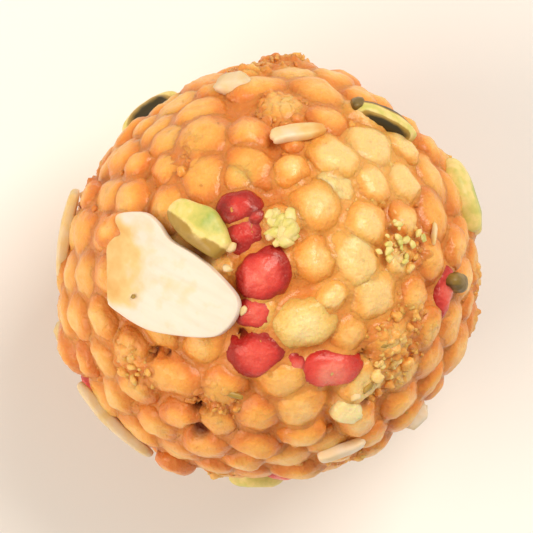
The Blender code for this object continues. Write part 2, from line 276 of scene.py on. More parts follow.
# The nut pieces' places, as the solid has them: kind, x, y, turn, length, width, thickness
TOP_NUTS = (
    ("almond_flake", -0.0106, -0.0009, -24.0, 0.0172, 0.0104, 0.0013),
    ("pistachio", -0.0073, 0.0047, -34.0, 0.0096, 0.0044, 0.0034),
    ("pistachio", 0.0133, 0.0166, -21.0, 0.0084, 0.0027, 0.0030),
    ("pistachio", 0.0215, -0.0018, -8.0, 0.0036, 0.0022, 0.0024),
    ("pistachio", 0.0015, 0.0049, 80.0, 0.0048, 0.0036, 0.0036),
    ("nib", -0.0039, 0.0215, 35.0, 0.0042, 0.0034, 0.0030),
    ("nib", 0.0170, -0.0172, 25.0, 0.0042, 0.0027, 0.0026),
    ("almond_sliver", 0.0035, 0.0150, 20.0, 0.0064, 0.0019, 0.0013),
    ("almond_sliver", 0.0084, -0.0207, 12.0, 0.0056, 0.0017, 0.0013),
)
# On a steep side a piece's lean as seen from above isn't its turn: what is added to the turn
SHOWN_TURN = {(0.0133, 0.0166): 29.0}
# The hidden side's nut pieces: kind, number, length, width, thickness
HIDDEN_NUTS = (
    ("almond_flake", 2, 0.0135, 0.0085, 0.0013),
    ("almond_sliver", 4, 0.0110, 0.0022, 0.0014),
    ("pistachio", 5, 0.0080, 0.0042, 0.0032),
    ("nib", 4, 0.0040, 0.0032, 0.0030),
)
HIDDEN_NUT_TOP = 0.10
HIDDEN_NUT_BOTTOM = -0.72
HIDDEN_NUT_SCALE = (0.8, 1.15)
NUT_PLACE_TRIES = 24
NUT_SEED = 5
NUT_SINK = {
    "almond_flake": 0.0006,
    "almond_sliver": 0.0006,
    "pistachio": 0.0009,
    "nib": 0.0012,
}
FLAKE_BEND_RADIUS = 0.032
SLIVER_BEND_RADIUS = 0.028

# The camera looks almost straight down, as the seats were read
CAMERA_RISE = math.radians(89.9)
CAMERA_DISTANCE = 1.5
CAMERA_LENS = 920.0
# The softboxes: name, place, width, power and colour
LIGHTS = (
    ("key_light", (0.33, 0.37, 0.64), 0.40, 4.6, "#FFF6EA"),
    ("fill_light", (-0.55, -0.20, 0.50), 0.60, 4.0, "#FFF0DC"),
)
ROOM_COLOUR = "#FFFAF2"
ROOM_STRENGTH = 0.46
FLOOR_HALF = 1.5
FLOOR_GAP = 0.0001


def linear(hex_colour):
    """An sRGB hex colour as linear red, green and blue."""
    parts = [int(hex_colour[i : i + 2], 16) / 255.0 for i in (1, 3, 5)]
    return tuple(c / 12.92 if c <= 0.04045 else ((c + 0.055) / 1.055) ** 2.4 for c in parts)


def socket_of(sockets, key):
    """The socket in use with this place, name or identifier."""
    if isinstance(key, int):
        return sockets[key]
    for socket in sockets:
        if socket.enabled and key in (socket.name, socket.identifier):
            return socket
    raise KeyError(f"{key} isn't one of {[s.name for s in sockets if s.enabled]}")


def add(tree, kind, inputs=None, **settings):
    """Adds a node to a tree. An input is a value, or a socket or a node that it is linked from."""
    made = tree.nodes.new(kind)
    for name, value in settings.items():
        setattr(made, name, value)
    for key, value in (inputs or {}).items():
        socket = socket_of(made.inputs, key)
        if isinstance(value, bpy.types.Node):
            value = next(out for out in value.outputs if out.enabled)
        if isinstance(value, bpy.types.NodeSocket):
            tree.links.new(value, socket)
        else:
            socket.default_value = value
    return made


def clamped(value, low=0.0, high=1.0):
    """The value, held between two limits."""
    return max(low, min(high, value))


def scale_for(millimetres):
    """The scale of a noise whose blotches are this wide."""
    return 1000.0 / millimetres


def ball_radius(direction):
    """The uneven ball's radius in a unit direction from its centre."""
    radius = BALL_RADIUS
    for mark, change in PALM_MARKS:
        facing = max(0.0, direction.dot(Vector(mark).normalized()))
        radius += change * facing**3
    return radius


def direction_of(x, y, reach):
    """The unit direction, on the upper half, of a point at x, y and this far from the centre."""
    height = math.sqrt(max(0.0, reach * reach - x * x - y * y))
    return Vector((x, y, height)).normalized()


def random_direction(rng, low, high):
    """A unit direction drawn between two heights."""
    z = rng.uniform(low, high)
    bearing = rng.uniform(0.0, math.tau)
    ring = math.sqrt(1.0 - z * z)
    return Vector((ring * math.cos(bearing), ring * math.sin(bearing), z))


def golden_spiral(count):
    """Unit directions spread evenly over a sphere."""
    turn = math.pi * (3.0 - math.sqrt(5.0))
    directions = []
    for i in range(count):
        z = 1.0 - 2.0 * (i + 0.5) / count
        ring = math.sqrt(1.0 - z * z)
        directions.append(Vector((ring * math.cos(i * turn), ring * math.sin(i * turn), z)))
    return directions


def pearl_seats():
    """Each pearl's direction, radius, lift and kind, by the rule that the solid follows."""
    rng = random.Random(ROLLING_SEED)
    listed = [(*pearl, "pearl") for pearl in PROUD_PEARLS]
    listed += [(*pearl, "red_pearl") for pearl in RED_PEARLS]
    listed += [(*pearl, "pale_pearl") for pearl in PALE_PEARLS]
    seats = []
    for x, y, radius, lift, kind in listed:
        direction = direction_of(x, y, BALL_RADIUS - radius + lift)
        seats.append([direction, radius, lift, kind])
    spacing = 2.0 * PEARL_RADIUS / BALL_RADIUS
    for direction in golden_spiral(PEARL_COUNT):
        if len(seats) >= PEARL_COUNT:
            break
        nearest = min((direction - seat[0]).length for seat in seats[: len(listed)])
        if nearest < LISTED_SEAT_CLEARANCE * spacing:
            continue
        jitter = Vector((rng.uniform(-1, 1), rng.uniform(-1, 1), rng.uniform(-1, 1)))
        direction = (direction + SEAT_JITTER * spacing * jitter).normalized()
        radius = PEARL_RADIUS * rng.uniform(1.0 - PEARL_SIZE_SPREAD, 1.0 + PEARL_SIZE_SPREAD)
        lift = rng.uniform(PEARL_LIFT_LOW, PEARL_LIFT_HIGH)
        hidden = direction.z < HIDDEN_NUT_TOP
        kind = "red_pearl" if hidden and rng.random() < HIDDEN_RED_SHARE else "pearl"
        seats.append([direction, radius, lift, kind])

    places = np.array([seat[0] for seat in seats])
    radii = np.array([seat[1] for seat in seats])
    free = np.array([0.0] * len(listed) + [1.0] * (len(seats) - len(listed)))
    wanted = PEARL_ELBOW_ROOM * (radii[:, None] + radii[None, :]) / (BALL_RADIUS - PEARL_RADIUS)
    for _ in range(SPREAD_STEPS):
        apart = places[:, None, :] - places[None, :, :]
        distance = np.linalg.norm(apart, axis=2)
        np.fill_diagonal(distance, 1.0)
        short = np.clip(wanted - distance, 0.0, None)
        np.fill_diagonal(short, 0.0)
        push = (apart / distance[:, :, None] * short[:, :, None]).sum(axis=1)
        places += SPREAD_PUSH * free[:, None] * push
        places /= np.linalg.norm(places, axis=1)[:, None]
    for seat, place in zip(seats, places):
        seat[0] = Vector(place)
    return seats


def nut_pieces():
    """Every nut piece, by the rule that the solid follows."""
    rng = random.Random(NUT_SEED)
    pieces = []
    for kind, x, y, turn, length, width, thickness in TOP_NUTS:
        turn += SHOWN_TURN.get((x, y), 0.0)
        pieces.append((kind, direction_of(x, y, BALL_RADIUS), turn, length, width, thickness))
    taken = [piece[1] for piece in pieces]
    for kind, number, length, width, thickness in HIDDEN_NUTS:
        for _ in range(number):
            best = None
            for _ in range(NUT_PLACE_TRIES):
                direction = random_direction(rng, HIDDEN_NUT_BOTTOM, HIDDEN_NUT_TOP)
                room = min((direction - other).length for other in taken)
                if best is None or room > best[0]:
                    best = (room, direction)
            taken.append(best[1])
            size = rng.uniform(*HIDDEN_NUT_SCALE)
            turn = rng.uniform(0.0, 360.0)
            pieces.append((kind, best[1], turn, length * size, width * size, thickness))
    return pieces


def upright_matrix(direction, distance, turn):
    """A frame whose +Z points out of the ball and whose +X lies along the turn from above."""
    heading = Vector((math.cos(math.radians(turn)), math.sin(math.radians(turn)), 0.0))
    along = heading - heading.dot(direction) * direction
    if along.length < 0.05:
        along = direction.orthogonal()
    along.normalize()
    across = direction.cross(along)
    upright = Matrix((along, across, direction)).transposed().to_4x4()
    upright.translation = CENTRE + distance * direction
    return upright


def share_at(direction, places):
    """The sum of what the listed places give in a direction. Each fades out at its own reach."""
    total = 0.0
    for x, y, reach, gain in places:
        away = (direction - direction_of(x, y, BALL_RADIUS)).length * BALL_RADIUS
        fade = max(0.0, 1.0 - away / reach)
        total += gain * fade * (2.0 - fade)
    return total


# Materials

def new_material(name):
    """An empty material, its tree, and its shader."""
    material = bpy.data.materials.new(name)
    material.use_nodes = True
    tree = material.node_tree
    shader = next(n for n in tree.nodes if n.type == "BSDF_PRINCIPLED")
    return material, tree, shader


def fill_ramp(ramp, stops):
    """Sets a colour ramp's stops, in rising order, each a position and a linear colour."""
    elements = ramp.color_ramp.elements
    elements[0].position, elements[1].position = stops[0][0], stops[-1][0]
    for position, _ in stops[1:-1]:
        elements.new(position)
    for element, (_, colour) in zip(elements, stops):
        element.color = (*colour, 1.0)


def set_values(shader, values):
    """Sets what is the same all over a surface on the shader's own sockets."""
    for name, value in values.items():
        shader.inputs[name].default_value = value


# A fried skin's blotches, speckles and pores: width in millimetres, and detail
FRIED_BLOTCH = (2.38095, 3.0)
FRIED_SPECKLE = (0.90909, 2.0)
FRIED_PORE = (0.43478, 4.0)
# How far a pearl's crest is painted lighter, as light falling on it, between two heights, and what its
# blotches, speckles and tint add
CREST_FROM, CREST_TO, CREST_PAINTED_LIGHT = 0.42, 0.97, 0.70
BLOTCH_WARMTH = 0.30
SPECKLE_WARMTH = 0.34
TINT_WARMTH = 0.42
WARMTH_TAKEN_OFF = 0.46
# Where the ramp's shades sit, and their names: from painted shade in the seams to painted light on the crest
WARMTH_STOPS = (0.0, 0.3, 0.65, 1.0)
SHADES = ("seam", "low", "high", "crest")


def soaked_boondi(name, kind, gloss, glow):
    """Fried gram-flour pearl soaked in syrup: a moist, softly glowing skin with fine pores. Painted shade
    makes it deeper in colour where it meets its neighbours, and painted light makes it yellower at its
    crest."""
    colours = bpy.context.scene.laddu_colours
    material, tree, shader = new_material(name)
    place = add(tree, "ShaderNodeTexCoord").outputs["Object"]
    crest = add(tree, "ShaderNodeAttribute", attribute_name="crest").outputs["Fac"]
    tint = add(tree, "ShaderNodeAttribute", attribute_name="tint").outputs["Fac"]
    pit_shade = add(tree, "ShaderNodeAttribute", attribute_name="pit_shade").outputs["Fac"]
    blotches, speckles, pores = (
        add(tree, "ShaderNodeTexNoise", {"Vector": place, "Scale": scale_for(width), "Detail": detail})
        for width, detail in (FRIED_BLOTCH, FRIED_SPECKLE, FRIED_PORE)
    )
    # Warmth is 0 in the seams and 1 on the yellowest crests: painted shade in the seams, painted light on
    # the crests, and the pearl's own blotches and tint
    shade_light_and_tone = add(
        tree, "ShaderNodeMapRange",
        {"Value": crest, "From Min": CREST_FROM, "From Max": CREST_TO, "To Max": CREST_PAINTED_LIGHT},
        interpolation_type="SMOOTHSTEP",
    )
    for source, share in ((blotches, BLOTCH_WARMTH), (speckles, SPECKLE_WARMTH), (tint, TINT_WARMTH)):
        shade_light_and_tone = add(tree, "ShaderNodeMath", {0: source, 1: share, 2: shade_light_and_tone}, operation="MULTIPLY_ADD")
    shade_light_and_tone = add(
        tree, "ShaderNodeMath", {0: shade_light_and_tone, 1: WARMTH_TAKEN_OFF}, operation="SUBTRACT", use_clamp=True
    )
    ramp = add(tree, "ShaderNodeValToRGB", {"Fac": shade_light_and_tone})
    shades = [getattr(colours, f"{kind}_{shade}") for shade in SHADES]
    fill_ramp(ramp, list(zip(WARMTH_STOPS, shades)))
    # Painted shade: deep in a gap the colour turns dark
    deep = add(
        tree, "ShaderNodeMapRange", {"Value": pit_shade, "From Min": 0.15, "From Max": 0.75},
        interpolation_type="SMOOTHSTEP",
    )
    dark = (*colours.gap, 1.0)
    shaded = add(
        tree, "ShaderNodeMix", {"Factor": deep, "A_Color": ramp, "B_Color": dark}, data_type="RGBA"
    )
    tree.links.new(socket_of(shaded.outputs, "Result_Color"), shader.inputs["Base Color"])
    wet = add(
        tree, "ShaderNodeMapRange",
        {"Value": blotches, "From Min": 0.35, "From Max": 0.65, "To Min": gloss, "To Max": gloss + 0.2},
    )
    tree.links.new(wet.outputs["Result"], shader.inputs["Roughness"])
    pored = add(tree, "ShaderNodeBump", {"Strength": 0.7, "Distance": 0.00024, "Height": pores})
    wrinkled = add(
        tree, "ShaderNodeBump",
        {"Strength": 0.65, "Distance": 0.0004, "Height": speckles, "Normal": pored},
    )
    tree.links.new(wrinkled.outputs["Normal"], shader.inputs["Normal"])
    syrup = add(tree, "ShaderNodeBump", {"Strength": 0.25, "Distance": 0.0004, "Height": speckles})
    tree.links.new(syrup.outputs["Normal"], shader.inputs["Coat Normal"])
    set_values(shader, {
        "Subsurface Weight": glow,
        "Subsurface Radius": (1.0, 0.42, 0.15),
        "Subsurface Scale": 0.0019,
        "IOR": 1.45,
        "Coat Weight": 0.34,
        "Coat Roughness": 0.16,
        "Coat Tint": (*linear("#FFF4E4"), 1.0),
        "Specular Tint": (*linear("#FFEBD4"), 1.0),
    })
    return material


def main_boondi():
    """The usual pearl, of orange batter, painted yellow at its crests as light."""
    return soaked_boondi("Gram flour boondi, syrup soaked", "orange", 0.32, 0.45)


def red_boondi():
    """A pearl of dyed batter: deep red, with a wetter gloss than the orange ones."""
    return soaked_boondi("Gram flour boondi, dyed red", "red", 0.24, 0.4)


def pale_boondi():
    """A pearl of batter without dye: pale yellow."""
    return soaked_boondi("Gram flour boondi, undyed", "pale", 0.28, 0.45)


def binding_crumb():
    """Crushed pearls in sugar syrup, which are duller than a whole one."""
    return soaked_boondi("Crushed boondi in sugar syrup", "binder", 0.36, 0.45)


# Almond fibres in millimetres: their length, and their width across a slice and through it
ALMOND_FIBRE = (6.66667, 1.11111, 2.5)
SYRUP_PATCH = 1.92308
# How much a patchy soaking varies, and from which sum on it shows
PATCH_SHARE = 0.8
STAIN_FROM, STAIN_FULL = 0.48, 1.30


def cut_almond():
    """Blanched almond, sliced: matte ivory with faint grain along its length, amber where syrup soaked
    in."""
    colours = bpy.context.scene.laddu_colours
    material, tree, shader = new_material("Blanched almond, sliced")
    lay = add(tree, "ShaderNodeAttribute", attribute_name="lay").outputs["Vector"]
    cover = add(tree, "ShaderNodeAttribute", attribute_name="cover").outputs["Fac"]
    fibre_scales = tuple(scale_for(size) for size in ALMOND_FIBRE)
    stretch = add(tree, "ShaderNodeVectorMath", {0: lay, 1: fibre_scales}, operation="MULTIPLY")
    fibre = add(tree, "ShaderNodeTexNoise", {"Vector": stretch, "Scale": 1.0, "Detail": 4.0})
    patch = add(
        tree, "ShaderNodeTexNoise", {"Vector": lay, "Scale": scale_for(SYRUP_PATCH), "Detail": 3.0}
    )
    ivory = add(tree, "ShaderNodeValToRGB", {"Fac": fibre})
    fill_ramp(ivory, [(0.3, colours.almond_fibre), (0.55, colours.almond)])
    uneven = add(tree, "ShaderNodeMath", {0: patch, 1: PATCH_SHARE, 2: cover}, operation="MULTIPLY_ADD")
    share = add(
        tree, "ShaderNodeMapRange", {"Value": uneven, "From Min": STAIN_FROM, "From Max": STAIN_FULL}
    )
    soaked = add(tree, "ShaderNodeValToRGB", {"Fac": share})
    fill_ramp(soaked, [(0.0, (1.0, 1.0, 1.0)), (0.5, colours.stain_light), (1.0, colours.stain_deep)])
    mixed = add(
        tree, "ShaderNodeMix", {"Factor": 1.0, "A_Color": ivory, "B_Color": soaked},
        data_type="RGBA", blend_type="MULTIPLY",
    )
    tree.links.new(socket_of(mixed.outputs, "Result_Color"), shader.inputs["Base Color"])
    bump = add(tree, "ShaderNodeBump", {"Strength": 0.5, "Distance": 0.00015, "Height": fibre})
    tree.links.new(bump.outputs["Normal"], shader.inputs["Normal"])
    set_values(shader, {
        "Roughness": 0.42,
        "Subsurface Weight": 0.3,
        "Subsurface Radius": (1.0, 0.8, 0.5),
        "Subsurface Scale": 0.0008,
    })
    return material


# A pistachio's cloudy flesh, in millimetres, and how far its cloud and its heart make it green
FLESH_CLOUD = 1.11111
CLOUD_GREEN = 0.80
HEART_GREEN = 0.62
# How much the cloud wears the skin, and how much it roughens its edge
SKIN_WEAR = 0.35
SKIN_EDGE = 0.4


def split_pistachio():
    """Pistachio kernel, chopped: yellow-green flesh under a thin olive-brown skin, nearly black where the
    skin is whole. Its cover attribute is the skin's share, and below 0 it is the green heart's."""
    colours = bpy.context.scene.laddu_colours
    material, tree, shader = new_material("Pistachio kernel, chopped")
    lay = add(tree, "ShaderNodeAttribute", attribute_name="lay").outputs["Vector"]
    skin = add(tree, "ShaderNodeAttribute", attribute_name="cover").outputs["Fac"]
    cloud = add(
        tree, "ShaderNodeTexNoise", {"Vector": lay, "Scale": scale_for(FLESH_CLOUD), "Detail": 4.0}
    )
    heart = add(tree, "ShaderNodeMath", {0: skin, 1: -HEART_GREEN}, operation="MULTIPLY", use_clamp=True)
    greenness = add(tree, "ShaderNodeMath", {0: cloud, 1: CLOUD_GREEN, 2: heart}, operation="MULTIPLY_ADD")
    flesh = add(tree, "ShaderNodeValToRGB", {"Fac": greenness})
    shades = (colours.flesh_cream, colours.flesh_yellow, colours.flesh_green)
    fill_ramp(flesh, list(zip((0.30, 0.48, 0.95), shades)))
    worn = add(tree, "ShaderNodeMath", {0: cloud, 1: SKIN_WEAR, 2: skin}, operation="MULTIPLY_ADD")
    coat = add(tree, "ShaderNodeValToRGB", {"Fac": worn})
    fill_ramp(coat, [(0.72, colours.skin_thin), (1.0, colours.skin_whole)])
    edge = add(tree, "ShaderNodeMath", {0: cloud, 1: SKIN_EDGE, 2: skin}, operation="MULTIPLY_ADD")
    share = add(
        tree, "ShaderNodeMapRange", {"Value": edge, "From Min": 0.42, "From Max": 0.66},
        interpolation_type="SMOOTHSTEP",
    )
    mixed = add(
        tree, "ShaderNodeMix", {"Factor": share, "A_Color": flesh, "B_Color": coat}, data_type="RGBA"
    )
    tree.links.new(socket_of(mixed.outputs, "Result_Color"), shader.inputs["Base Color"])
    bump = add(tree, "ShaderNodeBump", {"Strength": 0.4, "Distance": 0.0002, "Height": cloud})
    tree.links.new(bump.outputs["Normal"], shader.inputs["Normal"])
    set_values(shader, {
        "Roughness": 0.4,
        "Subsurface Weight": 0.2,
        "Subsurface Radius": (0.8, 1.0, 0.3),
        "Subsurface Scale": 0.0007,
    })
    return material


def pale_surface():
    """Matte painted board: an even, pale ground."""
    material, _, shader = new_material("Painted board, matte")
    set_values(shader, {"Base Color": (*bpy.context.scene.laddu_colours.ground, 1.0), "Roughness": 0.7})
    return material


# Geometry node trees

# The radius that a coarse ball starts at, so that it is about 1 once it is smoothed
SWOLLEN = 1.135
# A noise is 0.5 on average. Taking more off draws a pearl in between its lumps
PEARL_NOISE_MIDDLE = 0.62
CRUMB_NOISE_MIDDLE = 0.5


def new_tree(name, sockets):
    """An empty tree with a geometry in and out and named inputs of the given kinds and values."""
    tree = bpy.data.node_groups.new(name, "GeometryNodeTree")
    tree.interface.new_socket("Geometry", in_out="OUTPUT", socket_type="NodeSocketGeometry")
    tree.interface.new_socket("Geometry", in_out="INPUT", socket_type="NodeSocketGeometry")
    for label, kind, value in sockets:
        socket = tree.interface.new_socket(label, in_out="INPUT", socket_type=kind)
        if value is not None:
            socket.default_value = value
    return tree, add(tree, "NodeGroupInput")


def finish_tree(tree, geometry, material):
    """Ends a tree: real geometry, smooth shading and its material."""
    whole = add(tree, "GeometryNodeRealizeInstances", {"Geometry": geometry})
    smooth = add(tree, "GeometryNodeSetShadeSmooth", {"Geometry": whole, "Shade Smooth": True})
    finished = add(tree, "GeometryNodeSetMaterial", {"Geometry": smooth, "Material": material})
    add(tree, "NodeGroupOutput", {"Geometry": finished})


def grown_mesh(name, seed_mesh, tree, values):
    """A plain mesh object from a seed mesh and a tree, its inputs set by their identifiers."""
    obj = bpy.data.objects.new(name, seed_mesh)
    bpy.context.scene.collection.objects.link(obj)
    modifier = obj.modifiers.new("growth", "NODES")
    modifier.node_group = tree
    for item in tree.interface.items_tree:
        if item.in_out == "INPUT" and item.name in values:
            modifier[item.identifier] = values[item.name]
    graph = bpy.context.evaluated_depsgraph_get()
    mesh = bpy.data.meshes.new_from_object(obj.evaluated_get(graph))
    obj.modifiers.clear()
    obj.data = mesh
    mesh.name = name
    return obj


def held_in_box(tree, geometry):
    """What would pass the plain ball's box, such as the table under it, is pressed flat there."""
    place = add(tree, "GeometryNodeInputPosition")
    raised = add(tree, "ShaderNodeVectorMath", {0: place, 1: tuple(CAD_LOW)}, operation="MAXIMUM")
    pressed = add(tree, "ShaderNodeVectorMath", {0: raised, 1: tuple(CAD_HIGH)}, operation="MINIMUM")
    return add(tree, "GeometryNodeSetPosition", {"Geometry": geometry, "Position": pressed})


def coarse_ball(tree):
    """A ball of 24 faces. Smoothing draws it in, so it starts out swollen, larger than 1 in radius."""
    block = add(
        tree, "GeometryNodeMeshCube",
        {"Size": (2.0, 2.0, 2.0), "Vertices X": 3, "Vertices Y": 3, "Vertices Z": 3},
    )
    place = add(tree, "GeometryNodeInputPosition")
    rounded = add(tree, "ShaderNodeVectorMath", {0: place}, operation="NORMALIZE")
    swollen = add(tree, "ShaderNodeVectorMath", {0: rounded, "Scale": SWOLLEN}, operation="SCALE")
    return add(tree, "GeometryNodeSetPosition", {"Geometry": block.outputs["Mesh"], "Position": swollen})


def noise_shift(tree, given, pairs, middle):
    """How far each point moves, summed over noises given as pairs of names for their size and depth."""
    place = add(tree, "GeometryNodeInputPosition")
    shift = None
    for size_name, depth_name in pairs:
        scale = add(tree, "ShaderNodeMath", {0: 1.0, 1: given.outputs[size_name]}, operation="DIVIDE")
        bumps = add(tree, "ShaderNodeTexNoise", {"Vector": place, "Scale": scale, "Detail": 1.5})
        centred = add(tree, "ShaderNodeMath", {0: bumps.outputs[0], 1: middle}, operation="SUBTRACT")
        moved = add(
            tree, "ShaderNodeMath", {0: centred, 1: given.outputs[depth_name]}, operation="MULTIPLY"
        )
        if shift is not None:
            moved = add(tree, "ShaderNodeMath", {0: shift, 1: moved}, operation="ADD")
        shift = moved
    return shift


def pearl_tree():
    """Sets a lumpy pearl on every seat. Each seat carries its size, tint, turn and outward direction."""
    tree, given = new_tree(
        "Boondi pearls",
        (
            ("Roundness", "NodeSocketInt", 2),
            ("Lump depth", "NodeSocketFloat", 0.0011),
            ("Lump size", "NodeSocketFloat", 0.0032),
            ("Wrinkle depth", "NodeSocketFloat", 0.0004),
            ("Wrinkle size", "NodeSocketFloat", 0.0013),
            ("Material", "NodeSocketMaterial", None),
        ),
    )
    place = add(tree, "GeometryNodeInputPosition")
    outward = add(tree, "GeometryNodeInputNamedAttribute", {"Name": "outward"}, data_type="FLOAT_VECTOR")
    girth = add(tree, "GeometryNodeInputNamedAttribute", {"Name": "girth"}, data_type="FLOAT_VECTOR")
    turn = add(tree, "GeometryNodeInputNamedAttribute", {"Name": "turn"}, data_type="QUATERNION")
    seated = add(
        tree, "GeometryNodeStoreNamedAttribute",
        {"Geometry": given.outputs["Geometry"], "Name": "seat", "Value": place},
        data_type="FLOAT_VECTOR", domain="POINT",
    )
    strewn = add(
        tree, "GeometryNodeInstanceOnPoints",
        {
            "Points": seated, "Instance": coarse_ball(tree), "Rotation": turn.outputs["Attribute"],
            "Scale": girth.outputs["Attribute"],
        },
    )
    coarse = add(tree, "GeometryNodeRealizeInstances", {"Geometry": strewn})
    whole = add(
        tree, "GeometryNodeSubdivisionSurface", {"Mesh": coarse, "Level": given.outputs["Roundness"]}
    )
    seat = add(tree, "GeometryNodeInputNamedAttribute", {"Name": "seat"}, data_type="FLOAT_VECTOR")
    spoke = add(
        tree, "ShaderNodeVectorMath", {0: place, 1: seat.outputs["Attribute"]}, operation="SUBTRACT"
    )
    out = add(tree, "ShaderNodeVectorMath", {0: spoke}, operation="NORMALIZE")
    pairs = (("Lump size", "Lump depth"), ("Wrinkle size", "Wrinkle depth"))
    shift = noise_shift(tree, given, pairs, PEARL_NOISE_MIDDLE)
    offset = add(tree, "ShaderNodeVectorMath", {0: out, "Scale": shift}, operation="SCALE")
    lumpy = add(tree, "GeometryNodeSetPosition", {"Geometry": whole, "Offset": offset})
    # How far a point faces out of the ball: the material paints it lighter there as light, and darker in the
    # seams as shade
    rise = add(
        tree, "ShaderNodeVectorMath", {0: out, 1: outward.outputs["Attribute"]}, operation="DOT_PRODUCT"
    )
    crested = add(
        tree, "GeometryNodeStoreNamedAttribute",
        {"Geometry": lumpy, "Name": "crest", "Value": rise.outputs["Value"]},
        data_type="FLOAT", domain="POINT",
    )
    finish_tree(tree, held_in_box(tree, crested), given.outputs["Material"])
    return tree


def binder_tree():
    """Breaks the crust up into pressed crumbs. Between whole pearls it stays a smooth film of syrup."""
    tree, given = new_tree(
        "Binding crumbs",
        (
            ("Crumb depth", "NodeSocketFloat", 0.0011),
            ("Crumb size", "NodeSocketFloat", 0.0012),
            ("Grit depth", "NodeSocketFloat", 0.0013),
            ("Grit size", "NodeSocketFloat", 0.0008),
            ("Film share", "NodeSocketFloat", 0.10),
            ("Warp depth", "NodeSocketFloat", 0.0009),
            ("Warps to a metre", "NodeSocketFloat", 700.0),
            ("Mound reach", "NodeSocketFloat", 0.42),
            ("Material", "NodeSocketMaterial", None),
        ),
    )
    place = add(tree, "GeometryNodeInputPosition")
    facing = add(tree, "GeometryNodeInputNormal")
    crushed = add(tree, "GeometryNodeInputNamedAttribute", {"Name": "crushed"}, data_type="FLOAT")
    broken = add(
        tree, "ShaderNodeMapRange",
        {"Value": crushed.outputs["Attribute"], "To Min": given.outputs["Film share"], "To Max": 1.0},
    )
    warp = add(
        tree, "ShaderNodeTexNoise",
        {"Vector": place, "Scale": given.outputs["Warps to a metre"], "Detail": 1.0},
    )
    bent = add(
        tree, "ShaderNodeVectorMath",
        {0: warp.outputs["Color"], 1: given.outputs["Warp depth"], 2: place},
        operation="MULTIPLY_ADD",
    )
    crumb_scale = add(tree, "ShaderNodeMath", {0: 1.0, 1: given.outputs["Crumb size"]}, operation="DIVIDE")
    cells = add(
        tree, "ShaderNodeTexVoronoi", {"Vector": bent, "Scale": crumb_scale, "Smoothness": 0.25},
        feature="SMOOTH_F1",
    )
    mound = add(
        tree, "ShaderNodeMath", {0: given.outputs["Mound reach"], 1: cells.outputs["Distance"]},
        operation="SUBTRACT",
    )
    crumbs = add(
        tree, "ShaderNodeMath", {0: mound, 1: given.outputs["Crumb depth"]}, operation="MULTIPLY"
    )
    grit_scale = add(tree, "ShaderNodeMath", {0: 1.0, 1: given.outputs["Grit size"]}, operation="DIVIDE")
    grit = add(tree, "ShaderNodeTexNoise", {"Vector": place, "Scale": grit_scale, "Detail": 2.0})
    centred = add(tree, "ShaderNodeMath", {0: grit.outputs[0], 1: 0.5}, operation="SUBTRACT")
    relief = add(
        tree, "ShaderNodeMath", {0: centred, 1: given.outputs["Grit depth"], 2: crumbs},
        operation="MULTIPLY_ADD",
    )
    shift = add(tree, "ShaderNodeMath", {0: relief, 1: broken.outputs["Result"]}, operation="MULTIPLY")
    offset = add(tree, "ShaderNodeVectorMath", {0: facing, "Scale": shift}, operation="SCALE")
    rough = add(
        tree, "GeometryNodeSetPosition", {"Geometry": given.outputs["Geometry"], "Offset": offset}
    )
    # Painted shade and light: syrup low in the seams is painted deeper, and the crust's high spots as yellow
    # as a pearl's lit crest.
    height = add(
        tree, "ShaderNodeMapRange",
        {"Value": shift, "From Min": -0.0004, "From Max": 0.0004, "To Min": -0.18, "To Max": 0.14},
    )
    pearl_shading = add(tree, "GeometryNodeInputNamedAttribute", {"Name": "pearl_shading"}, data_type="FLOAT")
    shade = add(tree, "ShaderNodeMath", {0: height, 1: pearl_shading.outputs["Attribute"]}, operation="ADD")
    crested = add(
        tree, "GeometryNodeStoreNamedAttribute",
        {"Geometry": rough, "Name": "crest", "Value": shade},
        data_type="FLOAT", domain="POINT",
    )
    picked = add(tree, "ShaderNodeSeparateXYZ", {0: cells.outputs["Color"]})
    spread = add(
        tree, "ShaderNodeMath", {0: picked.outputs[0], 1: 0.7, 2: -0.35}, operation="MULTIPLY_ADD"
    )
    base = add(tree, "GeometryNodeInputNamedAttribute", {"Name": "tint"}, data_type="FLOAT")
    varied = add(
        tree, "ShaderNodeMath", {0: spread, 1: broken.outputs["Result"], 2: base.outputs["Attribute"]},
        operation="MULTIPLY_ADD",
    )
    tinted = add(
        tree, "GeometryNodeStoreNamedAttribute", {"Geometry": crested, "Name": "tint", "Value": varied},
        data_type="FLOAT", domain="POINT",
    )
    finish_tree(tree, held_in_box(tree, tinted), given.outputs["Material"])
    return tree


